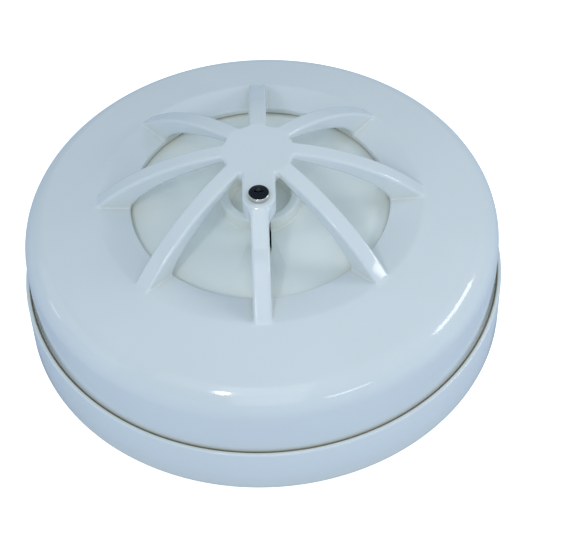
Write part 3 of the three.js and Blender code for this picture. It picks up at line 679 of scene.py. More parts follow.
def solder_resist():
    """Green resist over copper: raised tracks in a square maze, with bare tan glass-epoxy on the cut edge."""
    look = Look("solder_resist", (0.03, 0.17, 0.08), 0.32, Coat_Weight=0.3, Coat_Roughness=0.2)
    where = look.object_place()
    track = look.add("ShaderNodeTexBrick", {
        "Vector": where, "Scale": 380.0, "Mortar Size": 0.06, "Mortar Smooth": 0.3, "Bias": 0.0,
        "Brick Width": 1.7, "Row Height": 0.8}).outputs["Fac"]
    drift = look.group(MOTTLE, Size=0.012)
    resist = look.blend((0.022, 0.13, 0.06), (0.04, 0.21, 0.10), drift)
    green = look.blend(resist, (0.08, 0.30, 0.13), track)
    normal = look.add("ShaderNodeNewGeometry").outputs["Normal"]
    facing = look.add("ShaderNodeSeparateXYZ", {0: normal}).outputs["Z"]
    flat = look.math("GREATER_THAN", look.math("ABSOLUTE", facing), 0.5)
    weave = look.group(SCUFF, Size=0.001)
    laminate = look.blend((0.50, 0.44, 0.24), (0.62, 0.58, 0.36), weave)
    look.set("Base Color", look.blend(laminate, green, flat))
    look.set("Roughness", look.spread(drift, 0.25, 0.42))
    look.bump(track, 0.00004)
    return look.material


def resistor_coat():
    """Lacquer with four painted rings at fixed places along the body's own length."""
    look = Look("resistor_lacquer", (0.58, 0.44, 0.25), 0.35)
    x = look.add("ShaderNodeSeparateXYZ", {0: look.own_place()}).outputs[0]
    drift = look.group(MOTTLE, Size=0.003)
    tone = look.blend((0.52, 0.38, 0.20), (0.64, 0.50, 0.30), drift)
    half = 0.28 * MM
    for place, color in ((-2.3, (0.05, 0.02, 0.01)), (-1.1, (0.30, 0.02, 0.02)),
                         (0.1, (0.55, 0.16, 0.01)), (2.1, (0.45, 0.32, 0.06))):
        near = look.math("ABSOLUTE", look.math("SUBTRACT", x, place * MM))
        tone = look.blend(tone, color, look.math("LESS_THAN", near, half))
    look.set("Base Color", tone)
    look.set("Roughness", look.spread(drift, 0.28, 0.42))
    look.bump(look.group(SKIN, Peel_Size=0.001, Grain_Size=0.0001, Grain=0.1), 0.00003)
    return look.material


BRONZE = spring_bronze()
BLACK_EPOXY = cast_epoxy("black_epoxy", (0.025, 0.025, 0.028), 0.42, 0.003, 0.5)
BLUE_EPOXY = cast_epoxy("blue_epoxy", (0.03, 0.13, 0.38), 0.22, 0.0015, 0.1)
BEAD_EPOXY = cast_epoxy("bead_epoxy", (0.05, 0.085, 0.06), 0.2, 0.0012, 0.1)
SLEEVE = cast_epoxy("sleeve_white", (0.70, 0.69, 0.64), 0.55, 0.002, 0.4)
RESIST = solder_resist()
RESISTOR = resistor_coat()


# ---- outer cover: the turned shell
def shell_profile():
    """Outside from the foot over the shoulder to the crest, down the band to the opening, and back inside."""
    reach = SHOULDER_RADIUS * math.tan((math.pi / 2 - TOP_SLOPE) / 2)
    centre_r, centre_z = CORNER_RADIUS - SHOULDER_RADIUS, CORNER_Z - reach
    turn = 90 - math.degrees(TOP_SLOPE)
    foot = COVER_FOOT_RADIUS
    outside = rounded([(foot - COVER_WALL / 2, COVER_FOOT_Z), (foot, COVER_FOOT_Z, 0.35),
                       (CORNER_RADIUS, centre_z)], closed=False)
    outside += arc(centre_r, centre_z, SHOULDER_RADIUS, 0, turn, 26)[1:]
    band = rounded([outside[-1], (CREST_RADIUS, CREST_Z, 3.2), (OPENING_RADIUS, OPENING_Z, 0.3),
                    (OPENING_RADIUS, LIP_UNDERSIDE_Z, 0.2), (CREST_RADIUS - 1.6, LIP_UNDERSIDE_Z)],
                   closed=False)
    inside = arc(centre_r, centre_z, SHOULDER_RADIUS - COVER_WALL, turn, 0, 12)
    return outside + band[1:] + inside + [(foot - COVER_WALL, COVER_FOOT_Z + 0.3)]


# ---- outer cover: the cage
def rib_side():
    """The outline of a rib seen from the side, hub to tail: its back is an arc, its underside an arch."""
    top = Vector((HUB_RADIUS, HUB_TOP))
    tail = Vector(RIB_TAIL)
    chord = tail - top
    radius = (chord.length_squared / 4 + RIB_SAG**2) / (2 * RIB_SAG)
    centre = (top + tail) / 2 + Vector((chord.y, -chord.x)).normalized() * (radius - RIB_SAG)
    start, end = (math.degrees(math.atan2(p.y - centre.y, p.x - centre.x)) for p in (top, tail))
    back = arc(centre.x, centre.y, radius, start, end, 40)
    under, foot, landing = HUB_TOP - HUB_THICKNESS + 0.3, 28.0, OPENING_RADIUS + 0.15
    beyond = -2.0  # the outline runs on past the axis, so that the hub is solid there
    p0, p1, p2, p3 = (Vector(p) for p in ((landing, 28.6), (24.9, 33.2), (17.5, 37.6), (HUB_RADIUS, under)))
    arch = [tuple(p0 * (1 - t)**3 + p1 * 3 * t * (1 - t)**2 + p2 * 3 * t * t * (1 - t) + p3 * t**3)
            for t in np.linspace(0, 1, 25)]
    return [(beyond, HUB_TOP), *back, (RIB_TAIL[0] - 0.2, foot), (landing, foot), *arch, (beyond, under)]


def outline_distance(r, z, outline):
    """Signed distance to a closed outline, negative inside."""
    nearest = np.full(r.shape, np.inf)
    inside = np.zeros(r.shape, bool)
    for (r0, z0), (r1, z1) in zip(outline, outline[1:] + outline[:1]):
        dr, dz = r1 - r0, z1 - z0
        t = np.clip(((r - r0) * dr + (z - z0) * dz) / max(dr * dr + dz * dz, 1e-12), 0, 1)
        nearest = np.minimum(nearest, np.hypot(r - r0 - t * dr, z - z0 - t * dz))
        if dz:
            crosses = ((z0 > z) != (z1 > z)) & (r < dr * (z - z0) / dz + r0)
            inside ^= crosses
    return np.where(inside, -nearest, nearest)


def soft_union(a, b, width):
    """Union of two distances with a fillet about as wide as width where they meet."""
    width = np.maximum(width, 1e-6)
    h = np.maximum(width - np.abs(a - b), 0) / width
    return np.minimum(a, b) - h * h * width / 4


def soft_edge(a, b, radius):
    """Overlap of two distances with its outer edge rounded."""
    a, b = a + radius, b + radius
    return np.minimum(np.maximum(a, b), 0) + np.hypot(np.maximum(a, 0), np.maximum(b, 0)) - radius


class Cage:
    """The ribs, hub and screw tab as one signed distance in millimetres."""

    TABLE_STEP, TABLE_R, TABLE_Z = 0.05, (0.0, 36.0), (27.0, 45.0)
    EDGE = 0.5
    NOTCH = 0.6  # width of the fillets between neighbouring ribs at the hub
    ROOT = 0.5  # width of the fillets where ribs land on the band
    TAB = 1.3  # width of the fillets between the tab and its rib
    TAB_FADE = 1.2  # depth over which they fade in below the top
    INSET = 0.07  # the crest's rounding dips this far under the two slopes

    def __init__(self):
        rs = np.arange(*self.TABLE_R, self.TABLE_STEP)
        zs = np.arange(*self.TABLE_Z, self.TABLE_STEP)
        grid_r, grid_z = np.meshgrid(rs, zs, indexing="ij")
        self.side = outline_distance(grid_r, grid_z, rib_side())

    def side_at(self, r, z):
        """The side outline's distance, read from its table."""
        u = np.clip((r - self.TABLE_R[0]) / self.TABLE_STEP, 0, self.side.shape[0] - 1.001)
        v = np.clip((z - self.TABLE_Z[0]) / self.TABLE_STEP, 0, self.side.shape[1] - 1.001)
        i, j = u.astype(int), v.astype(int)
        s, t = u - i, v - j
        table = self.side
        near = table[i, j] * (1 - t) + table[i, j + 1] * t
        far = table[i + 1, j] * (1 - t) + table[i + 1, j + 1] * t
        return near * (1 - s) + far * s

    def distance(self, x, y, z):
        r = np.hypot(x, y)
        pitch = TAU / RIB_COUNT
        turn = (np.arctan2(y, x) + TAU / 4 + pitch / 2) % pitch - pitch / 2
        rib = np.abs(r * np.sin(turn)) - RIB_WIDTH / 2
        star = soft_union(rib, r - HUB_RADIUS, self.NOTCH)
        cage = soft_edge(star, self.side_at(r, z), self.EDGE)
        cage = np.minimum(cage, self.ramp(x, y, z))
        along = np.clip(y, SCREW_Y, -HUB_RADIUS + 2)
        tab = np.hypot(x, y - along) - BOSS_RADIUS
        middle = HUB_TOP - BOSS_DEPTH / 2
        boss = soft_edge(tab, np.abs(z - middle) - BOSS_DEPTH / 2, self.EDGE)
        below = np.clip((HUB_TOP - z) / self.TAB_FADE, 0, 1)
        cage = soft_union(cage, boss, self.TAB * below * below * (3 - 2 * below))
        cage = self.landed(cage, rib, r, z)
        return np.maximum(cage, SCREW_HOLE_RADIUS - np.hypot(x, y - SCREW_Y))

    def ramp(self, x, y, z):
        """A wedge on the back of the screw's rib, from just under the boss's top to the rib's own line."""
        (r0, z0), (r1, z1) = RAMP_TOP, RAMP_END
        slope = ((z0 - z1) * (-y - r0) + (r1 - r0) * (z - z0)) / math.hypot(z0 - z1, r1 - r0)
        side = np.maximum(np.maximum(slope, z - z0), np.maximum(z1 + 0.5 - z, r0 - 1 + y))
        return soft_edge(np.abs(x) - RIB_WIDTH / 2, side, self.EDGE)

    def landed(self, cage, rib, r, z):
        """Fillets from the ribs to the band, which stop just under the band's surface."""
        outside = CREST_Z - (r - CREST_RADIUS) * math.tan(TOP_SLOPE)
        rise = (CREST_Z - OPENING_Z) / (CREST_RADIUS - OPENING_RADIUS)
        band = OPENING_Z + (r - OPENING_RADIUS) * rise
        skin = np.minimum(outside, band) - self.INSET
        edge = OPENING_RADIUS + self.INSET - r
        ground = np.maximum(edge, z - skin)
        ground = np.where((edge > 0) & (z > skin), np.hypot(edge, z - skin), ground)
        ground = np.maximum(ground, rib - self.ROOT)
        ground = np.maximum(ground, r - RIB_TAIL[0] - 0.6)
        return np.maximum(soft_union(cage, ground, self.ROOT), LIP_UNDERSIDE_Z + 0.5 - z)


def net(field, low, step):
    """A closed skin over a sampled field where it changes sign: points and their four-sided faces."""
    inside = field < 0
    shape = np.array(field.shape) - 1
    total = np.zeros((*shape, 3))
    hits = np.zeros(shape)
    corner = {bits: tuple(slice(b, b + n) for b, n in zip(bits, shape)) for bits in np.ndindex(2, 2, 2)}
    for axis in range(3):
        for bits in np.ndindex(2, 2, 2):
            if bits[axis]:
                continue
            other = tuple(1 if k == axis else b for k, b in enumerate(bits))
            a, b = field[corner[bits]], field[corner[other]]
            cross = inside[corner[bits]] != inside[corner[other]]
            t = np.where(cross, a / np.where(cross, a - b, 1), 0)
            hits += cross
            for k in range(3):
                total[..., k] += cross * (bits[k] + (t if k == axis else 0))
    cells = np.argwhere(hits > 0)
    number = np.full(shape, -1)
    number[tuple(cells.T)] = np.arange(len(cells))
    points = low + step * (cells + total[tuple(cells.T)] / hits[tuple(cells.T)][:, None])
    faces = []
    for axis in range(3):
        u, v = (axis + 1) % 3, (axis + 2) % 3
        head = [slice(None)] * 3
        tail = [slice(None)] * 3
        head[axis], tail[axis] = slice(0, -1), slice(1, None)
        edges = np.argwhere(inside[tuple(head)] != inside[tuple(tail)])
        edges = edges[(edges[:, u] > 0) & (edges[:, v] > 0)
                      & (edges[:, u] < shape[u]) & (edges[:, v] < shape[v])]
        out = inside[tuple(edges.T)]
        quad = []
        for du, dv in ((-1, -1), (0, -1), (0, 0), (-1, 0)):
            cell = edges.copy()
            cell[:, u] += du
            cell[:, v] += dv
            quad.append(number[tuple(cell.T)])
        quad = np.stack(quad, 1)
        faces.append(np.where(out[:, None], quad, quad[:, ::-1]))
    return points, np.concatenate(faces)


def cage_mesh(material):
    """The cage's skin, each point of it moved onto the true surface along the slope."""
    cage, step, probe = Cage(), 0.25, 0.02
    reach = RIB_TAIL[0] + 2
    xs = np.arange(-reach, reach, step)
    zs = np.arange(LIP_UNDERSIDE_Z, HUB_TOP + 1, step)
    field = cage.distance(*np.meshgrid(xs, xs, zs, indexing="ij"))
    low = np.array([xs[0], xs[0], zs[0]])
    points, faces = net(field, low, step)
    for _ in range(4):
        here = cage.distance(*points.T)
        ahead, behind = ([cage.distance(*(points + way * probe * axis).T) for axis in np.eye(3)]
                         for way in (1, -1))
        slope = (np.array(ahead) - np.array(behind)).T / (2 * probe)
        size = np.maximum((slope**2).sum(1), 0.25)
        move = slope * (here / size)[:, None]
        length = np.linalg.norm(move, axis=1, keepdims=True)
        points -= move * np.minimum(1, 0.5 * step / np.maximum(length, 1e-9))
    return tidy(mesh_of(points, faces.tolist(), material), math.radians(55))


piece("cover_shell", lathe(shell_profile(), HOUSING, 256), "cover", "housing_white", "outer_cover")
piece("cover_cage", cage_mesh(HOUSING), "cover", "housing_white", "outer_cover")


# ---- screws
def cross_recess(reach, width, top, depth):
    """A cross-shaped cutter that tapers to its floor."""
    floor_share, open_share = 0.45, 1.0
    points = [(x * reach * share, y * width / 2 * (0.6 + 0.4 * share), z)
              for z, share in ((top - depth, floor_share), (top + 0.5, open_share)) for x, y in CORNERS]
    faces = [(3, 2, 1, 0), (4, 5, 6, 7), *[(i, (i + 1) % 4, 4 + (i + 1) % 4, 4 + i) for i in range(4)]]
    return [placed(mesh_of(points, faces), turn=turn) for turn in (0, 90)]


def pan_screw(material, head_radius, head_height, shank_radius, length, pitch, flank=0.42, edge=0.5):
    """A pan-head screw standing on its seat at z = 0; its flank and edge are shares of the head's height."""
    crown = head_height * flank
    core = shank_radius * 0.84
    profile = [(0, -length), (core * 0.45, -length), (core, -length + shank_radius * 0.7), (core, -0.3),
               (shank_radius, -0.1), (shank_radius, 0)]
    profile += rounded([(head_radius * 0.9, 0), (head_radius, 0, 0.08),
                        (head_radius, crown, head_height * edge),
                        (head_radius * 0.5, head_height, head_height * 0.9), (0, head_height)],
                       closed=False, steps=8)
    recess = cross_recess(head_radius * 0.6, head_radius * 0.25, head_height, head_height * 0.6)
    head = carved(lathe(profile, material, 48, closed=False), recess, bevel=0.03)
    turns = (length - 1.2) / pitch
    thread = grow(THREAD, material, Radius=core * MM, Pitch=pitch * MM, Turns=turns,
                  Depth=(shank_radius - core) * MM)
    return marked(joined(head, placed(thread, z=-length + 0.5), material=material))


HEAD_HEIGHT = 1.1
cover_screw = pan_screw(SCREW_PAINTED_REFLECTIONS, 2.0, HEAD_HEIGHT, 0.95, 11.0, 0.4, flank=0.74, edge=0.16)
piece("cover_screw_head", placed(cover_screw, y=SCREW_Y, z=SCREW_HIGH.z - HEAD_HEIGHT),
      "cover_screw", "dark_screw", "retaining_screw")


# ---- base: dish, terminal plates and clamps
def base_dish():
    """The ceiling dish: lip, cable collar, bayonet hooks and stops, terminal pads and fixing slots."""
    entry, collar = CABLE_ENTRY_RADIUS, CABLE_ENTRY_RADIUS + CABLE_COLLAR_WALL
    collar_top = BASE_FLOOR + CABLE_COLLAR_HEIGHT
    (groove_in, groove_out), deep = BACK_GROOVE, BACK_GROOVE_DEPTH
    dish = lathe(rounded([
        (entry, 0, 0.3), (groove_in, 0, 0.1), (groove_in + deep, deep, 0.1), (groove_out - deep, deep, 0.1),
        (groove_out, 0, 0.1), (BASE_RADIUS, 0, 0.45), (RIM_RADIUS, BASE_HEIGHT, 0.4),
        (LIP_INNER, BASE_HEIGHT, 0.2), (LIP_INNER, LEDGE_Z, 0.1), (WALL_INNER, LEDGE_Z, 0.2),
        (WALL_INNER, BASE_FLOOR, 0.8), (collar, BASE_FLOOR, 0.4), (collar, collar_top, 0.3),
        (entry, collar_top, 0.3)]), HOUSING, 224)
    wall, foot = WALL_INNER + BITE, BASE_FLOOR - BITE
    lock, free = -HOOK_HALF - STOP_SPAN, LUG_HALF + RELEASE + 1
    hook = prism(sector(HOOK_INNER, wall, lock, HOOK_HALF), HOOK_Z, HOOK_TOP)
    lock_stop = prism(sector(HOOK_INNER, wall, lock, lock + STOP_SPAN), foot, HOOK_Z + BITE)
    free_stop = prism(sector(HOOK_INNER, wall, free, free + STOP_SPAN), foot, LUG_Z + 1)
    pad = slab(TERMINAL_R - PAD_HALF, 32, -PAD_HALF, PAD_HALF, foot, PAD_TOP)
    pocket = lathe([(0, 1), (2.3, 1), (2.3, PAD_TOP + PAST), (0, PAD_TOP + PAST)], HOUSING, 32, closed=False)
    slot = prism(stadium(*FIXING_SLOT, FIXING_SLOT_HALF), -PAST, BASE_FLOOR + PAST)
    adds = [ring_of(part, 3) for part in (hook, lock_stop, free_stop)] + [ring_of(pad, 4, 45)]
    return carved(dish, [ring_of(placed(pocket, x=TERMINAL_R), 4, 45), ring_of(slot, 2)], adds, bevel=0.18)


def terminal_plate():
    """Sheet that runs flat under the clamp, then steps up to where the head's blade lands on it."""
    low, rise, start = PLATE_Z, CONTACT_Z - SHEET, TERMINAL_R - 4.2
    step, top, end = 32.0, 34.0, 39.2
    outline = rounded([(start, low, 0.1), (step, low, 1.4), (top, rise, 0.6), (end, rise, 0.1),
                       (end, rise + SHEET, 0.1), (top, rise + SHEET, 1.4), (step, low + SHEET, 0.6),
                       (start, low + SHEET, 0.1)])
    return carved(strip(outline, 7, NICKEL), [hole(CLAMP_HOLE_RADIUS, TERMINAL_R, 0, CONTACT_Z + PAST)],
                  bevel=0.12)


def clamp_washer():
    """A square washer with two grooves that bite the wires."""
    half, corner, top = WASHER_HALF, 0.7, WASHER_Z + SHEET
    groove_half, groove_depth, groove_y = 0.25, 0.18, 2.9
    square = rounded([(x * half, y * half, corner) for x, y in CORNERS])
    groove = slab(-half - PAST, half + PAST, -groove_half, groove_half, WASHER_Z - PAST,
                  WASHER_Z + groove_depth)
    grooves = [placed(groove, x=TERMINAL_R, y=y) for y in (-groove_y, groove_y)]
    return carved(placed(prism(square, WASHER_Z, top, ZINC), x=TERMINAL_R),
                  [hole(CLAMP_HOLE_RADIUS, TERMINAL_R, 0, CONTACT_Z + PAST), *grooves], bevel=0.1)


piece("base_shell", base_dish(), "base", "housing_white", "base_dish")
washer, plate = marked(clamp_washer()), marked(terminal_plate())
terminal_screw = pan_screw(NICKEL, 3.4, 2.2, 1.7, 4.9, 0.6)
for i, at in enumerate((45, 135, 225, 315), 1):
    piece(f"terminal_strip_{i}", placed(plate, turn=at), "base", "nickel_plate", f"terminal_plate_{i}")
    clamp = f"terminal_clamp_{i}"
    piece(f"clamp_plate_{i}", placed(washer, turn=at), clamp, "zinc_plate", f"clamp_washer_{i}")
    screw = placed(terminal_screw, x=TERMINAL_R, z=WASHER_Z + SHEET + 0.2, turn=at)
    piece(f"clamp_screw_{i}", screw, clamp, "nickel_plate", f"terminal_screw_{i}")


# ---- head: chassis, blades, board and sensor plate
def chassis():
    """The rear moulding: a disc with a skirt, bayonet lugs, stand-offs and the post that takes the screw."""
    under, top, outer = CHASSIS_Z, CHASSIS_TOP, CHASSIS_HIGH.x
    skirt, skirt_z = outer - 1.2, 9.9
    disc = turned([(0, under), (skirt, under, 0.5), (skirt, skirt_z, 0.2), (outer, skirt_z, 0.2),
                   (outer, top, 0.4), (0, top)], INNER, 192)
    stem = prism(sector(LUG_INNER, 42.6, -LUG_HALF, LUG_HALF), LUG_Z, under + BITE)
    lug = prism(sector(LUG_INNER, LUG_OUTER, -LUG_HALF, LUG_HALF), LUG_Z, LUG_Z + 1.5)
    standoff = hole(PILLAR_RADIUS, ASSEMBLY_R, top - BITE, top + 1.5)
    post = turned([(0, top - BITE), (POST_RADIUS, top - BITE), (POST_RADIUS, POST_SHOULDER, 0.4),
                   (POST_TIP_RADIUS, POST_SHOULDER, 0.4), (POST_TIP_RADIUS, POST_TOP, 0.2), (0, POST_TOP)],
                  INNER, 40)
    cuts = [ring_of(hole(SHANK_HOLE_RADIUS, ASSEMBLY_R, 0, top + 3), 3, 90),
            ring_of(hole(SHANK_HOLE_RADIUS, RIVET_R, 0, top + PAST), 4, 45),
            placed(hole(SCREW_HOLE_RADIUS, 0, 30, POST_TOP + PAST), y=SCREW_Y)]
    adds = [ring_of(stem, 3), ring_of(lug, 3), ring_of(standoff, 3, 90), placed(post, y=SCREW_Y)]
    return carved(disc, cuts, adds, bevel=0.15)


def contact_blade():
    """A spring blade: foot under the chassis, a leg down, and a contact foot turned back over the plate."""
    top, low, sheet = BLADE_TOP, CONTACT_Z + 0.4, BLADE_SHEET
    start, contact, leg = 31.4, 35.0, 38.7
    outline = rounded([
        (start, top - sheet, 0.1), (leg - sheet, top - sheet, 0.5), (leg - sheet, low + sheet, 0.5),
        (contact, low + sheet, 0.1), (contact, low, 0.1), (leg, low, 1.1), (leg, top, 1.1),
        (start, top, 0.1)])
    return carved(strip(outline, 5, BRONZE), [hole(SHANK_HOLE_RADIUS, RIVET_R, top - PAST, top + PAST)],
                  bevel=0.1)


def blade_rivet():
    """A rivet through blade and chassis, its two heads domed."""
    low, high = BLADE_TOP - BLADE_SHEET - 0.2, CHASSIS_Z + 1.6
    shank, head, dome = 1.5, 2.4, 0.6
    return turned([(0, low - dome), (1.7, low - dome, 1.2), (head, low, 0.1), (shank, low), (shank, high),
                   (head, high, 0.1), (1.9, high + dome, 0.6), (0, high + dome)], NICKEL, 40)


def sensor_plate():
    """The floor that shows in the opening, with the collar round the thermistor and the slot for the post."""
    bore, under, foot, top = 2.4, FLOOR_Z - 1.6, PLATE_LOW.z, PLATE_HIGH.z
    outer = PLATE_HIGH.x
    inner, collar_bore = outer - 1.2, COLLAR_RADIUS - COLLAR_WALL
    cup = lathe(rounded([
        (bore, under, 0.15), (inner, under, 0.5), (inner, foot, 0.2), (outer, foot, 0.2),
        (outer, FLOOR_Z, 0.5), (COLLAR_RADIUS, FLOOR_Z, 0.4), (COLLAR_RADIUS, top, 0.6),
        (collar_bore, top, 0.5), (collar_bore, FLOOR_Z, 0.4), (bore, FLOOR_Z, 0.2)]), INNER, 160)
    boss = hole(PILLAR_RADIUS, ASSEMBLY_R, foot, under + BITE)
    pilot = hole(SHANK_HOLE_RADIUS, ASSEMBLY_R, foot - PAST, under - 0.6)
    slot = prism(stadium(SLOT_START, SLOT_END, SLOT_HALF, 16), under - PAST, top + PAST)
    return carved(cup, [placed(slot, turn=-90), ring_of(pilot, 3, 90)], [ring_of(boss, 3, 90)], bevel=0.15)


def board():
    """A round board, clear of the screws and of the post."""
    disc = prism(arc(0, 0, BOARD_HIGH.x, 0, 360, 128)[:-1], BOARD_LOW.z, BOARD_HIGH.z, RESIST)
    through = 10, 20
    return carved(disc, [ring_of(hole(SHANK_HOLE_RADIUS, ASSEMBLY_R, *through), 3, 90),
                         placed(hole(POST_RADIUS + 0.6, 0, *through), y=SCREW_Y)], bevel=0.06)


piece("chassis_shell", chassis(), "head", "inner_white", "head_chassis")
blade, rivet = contact_blade(), marked(blade_rivet())
for i, at in enumerate((45, 135, 225, 315), 1):
    piece(f"spring_blade_{i}", placed(blade, turn=at), "head", "spring_bronze", f"contact_blade_{i}")
    piece(f"rivet_{i}", placed(rivet, x=RIVET_R, turn=at), "head", "nickel_plate", f"blade_rivet_{i}")
assembly_screw = placed(pan_screw(ZINC, 2.8, 2.1, 1.5, 11.0, 0.5), flip=True, z=CHASSIS_Z - 0.2)
for i, at in enumerate((90, 210, 330), 1):
    piece(f"pillar_screw_{i}", placed(assembly_screw, x=ASSEMBLY_R, turn=at), "head", "zinc_plate",
          f"assembly_screw_{i}")
piece("board", board(), "head", "board_green", "circuit_board")
piece("sensor_floor", sensor_plate(), "head", "inner_white", "sensor_plate")


# ---- thermistor
def drop(radius, height, middle, taper, steps):
    """Half the outline of a dipped bead, a little fuller above."""
    return [(math.sin(a) * radius * (1 - taper * math.cos(a)), middle - math.cos(a) * height / 2)
            for a in np.linspace(0, math.pi, steps)]


def thermistor():
    """Bead, its two leads and the twin-bore sleeve that holds them up in the cage."""
    foot, top = (corner.z for corner in span("thermistor_sleeve"))
    radius, bore = 1.75, 0.38
    tube = turned([(0, foot), (radius, foot, 0.15), (radius, top, 0.25), (0, top)], SLEEVE, 40)
    bores = [hole(bore, x, foot - 0.4, top + PAST, 16) for x in (-LEAD_X, LEAD_X)]
    piece("lead_sleeve", carved(tube, bores), "head", "sleeve_white", "thermistor_sleeve")
    low, high = span("thermistor_bead")
    bead = drop(high.x, high.z - low.z, (high.z + low.z) / 2, 0.12, 25)
    piece("bead", lathe(bead, BEAD_EPOXY, 48, closed=False), "head", "sensor_epoxy", "thermistor_bead")
    foot, top = (corner.z for corner in span("thermistor_lead_1"))
    wire = marked(turned([(0, foot), (LEAD_RADIUS, foot, 0.05), (LEAD_RADIUS, top, 0.1), (0, top)],
                         NICKEL, 16))
    for i, x in enumerate((-LEAD_X, LEAD_X), 1):
        piece(f"lead_{i}", placed(wire, x=x), "head", "nickel_plate", f"thermistor_lead_{i}")


thermistor()


# ---- components on the board
def legs(places, top, radius=LEG_RADIUS):
    """Round legs down to the board at places along X, each with its solder fillet."""
    foot, fillet = BOARD_HIGH.z, 0.85
    joint = lathe([(0, foot), (fillet, foot), *arc(fillet, foot + 0.6, 0.52, 250, 180, 4)[1:],
                   (radius, foot + 0.7), (radius, top), (0, top)], SOLDER, 16, closed=False)
    return [placed(joint, x=x) for x in places]


def chip(length, width, height, per_side):
    """A moulded package with a draft, a key dimple and gull-wing legs."""
    foot = BOARD_HIGH.z
    low, draft = foot + 0.55, 0.25
    split, top = low + height / 2, low + height
    points = [(x * (length / 2 - d), y * (width / 2 - d), z)
              for z, d in ((low, draft), (split, 0), (top, draft)) for x, y in CORNERS]
    sides = [(4 * k + i, 4 * k + (i + 1) % 4, 4 * k + 4 + (i + 1) % 4, 4 * k + 4 + i)
             for k in range(2) for i in range(4)]
    body = tidy(mesh_of(points, [(0, 1, 2, 3), (8, 9, 10, 11), *sides], BLACK_EPOXY))
    inset, deep = 1.4, 0.25
    dimple = placed(hole(0.6, length / 2 - inset, top - deep, top + PAST), y=inset - width / 2)
    pitch, sheet, bend = length / per_side, 0.2, 0.1
    wide = min(0.5, pitch / 2)
    start, knee, reach = width / 2 - 0.3, width / 2 + 0.45, width / 2 + 1
    outline = rounded([(start, split - sheet / 2), (knee - bend, split - sheet / 2, bend),
                       (knee - bend, foot + 0.02, bend), (reach, foot + 0.02), (reach, foot + 0.02 + sheet),
                       (knee + bend, foot + 0.02 + sheet, bend), (knee + bend, split + sheet / 2, 2 * bend),
                       (start, split + sheet / 2)])
    leg = strip(outline, wide, NICKEL)
    leg.transform(Matrix.Rotation(math.pi / 2, 4, "Z"))
    row = grow(ROW, None, leg, Count=per_side, Pitch=pitch * MM)
    return joined(carved(body, [dimple], bevel=0.12), row, placed(row, turn=180))


def capacitor():
    """A sleeved can with a groove near its foot and a cross scored in its top."""
    foot, radius, crimp = COMPONENT_Z, 3.15, 3.15 - 0.25
    top, well = foot + 6.6, 0.15
    can = turned([(0, foot), (radius - 0.3, foot, 0.2), (radius, foot + 0.3, 0.2), (radius, foot + 0.9, 0.3),
                  (crimp, foot + 1.2, 0.3), (radius, foot + 1.5, 0.3), (radius, top, 0.5),
                  (radius - 0.7, top, 0.15), (radius - 0.8, top - well, 0.1), (0, top - well)],
                 BLACK_EPOXY, 64)
    score = slab(-2, 2, -0.07, 0.07, top - 2 * well, top + PAST)
    return carved(can, [placed(score, turn=at) for at in (0, 90)])


def varistor():
    """A dipped disc standing on its edge."""
    radius, half, edge = 3.4, 1.3, 1.0
    centre = COMPONENT_Z + 4.6
    disc = turned([(0, -half), (radius, -half, edge), (radius, half, edge), (0, half)], BLUE_EPOXY, 56, 8)
    disc.transform(Matrix.Rotation(math.pi / 2, 4, "X"))
    return joined(placed(disc, z=centre), *legs((-2, 2), centre - 2.2))


def transistor():
    """A small round case with one flat side, on three legs."""
    radius, height, pitch = 2.3, 4.4, 1.27
    low = COMPONENT_Z + 2
    body = carved(prism(arc(0, 0, radius, -40, 220, 32), low, low + height, BLACK_EPOXY), bevel=0.15)
    return joined(body, *legs((-pitch, 0, pitch), low + 0.5, THIN_LEG_RADIUS))


def resistor():
    """A dog-bone body lying along X, its wires bent down to the board."""
    centre, half, bulge = COMPONENT_Z + 1.5, 3.2, 1.15
    waist, bend, wire_radius = bulge * 0.8, half + 1.5, LEG_RADIUS
    body = turned([(0, -half), (waist, -half, 0.4), (bulge, -half + 0.6, 0.5), (bulge, -half + 1.3, 0.5),
                   (waist, -half + 1.8, 0.5), (waist, half - 1.8, 0.5), (bulge, half - 1.3, 0.5),
                   (bulge, half - 0.6, 0.5), (waist, half, 0.4), (0, half)], RESISTOR, 32)
    wire = turned([(0, 0), (wire_radius, 0), (wire_radius, 1.6), (0, 1.6)], NICKEL, 16)
    for mesh in (body, wire):
        mesh.transform(Matrix.Rotation(math.pi / 2, 4, "Y"))
    knee = lathe([(0, -wire_radius), *arc(0, 0, wire_radius, -60, 60, 4), (0, wire_radius)], NICKEL, 16,
                 closed=False)
    end = placed(wire, x=half - 0.1, z=centre)
    knees = [placed(knee, x=x, z=centre) for x in (-bend, bend)]
    return joined(placed(body, z=centre), end, placed(end, turn=180), *knees, *legs((-bend, bend), centre))


def reference_bead():
    """The bead that reads the temperature of the board."""
    radius, centre = 1.4, COMPONENT_Z + 3.4
    bead = lathe(drop(radius, 2 * radius, centre, 0.1, 21), BEAD_EPOXY, 40, closed=False)
    return joined(bead, *legs((-LEAD_X, LEAD_X), centre - 0.9, THIN_LEG_RADIUS))


def on_board(name, mesh, slot, node):
    """A component stands where its CAD node does, its X running round the board."""
    low, high = span(node)
    middle = (low + high) / 2
    at = math.degrees(math.atan2(middle.y, middle.x))
    lying = placed(marked(mesh), turn=90)
    piece(name, placed(lying, x=math.hypot(middle.x, middle.y), turn=at), "head", slot, node)


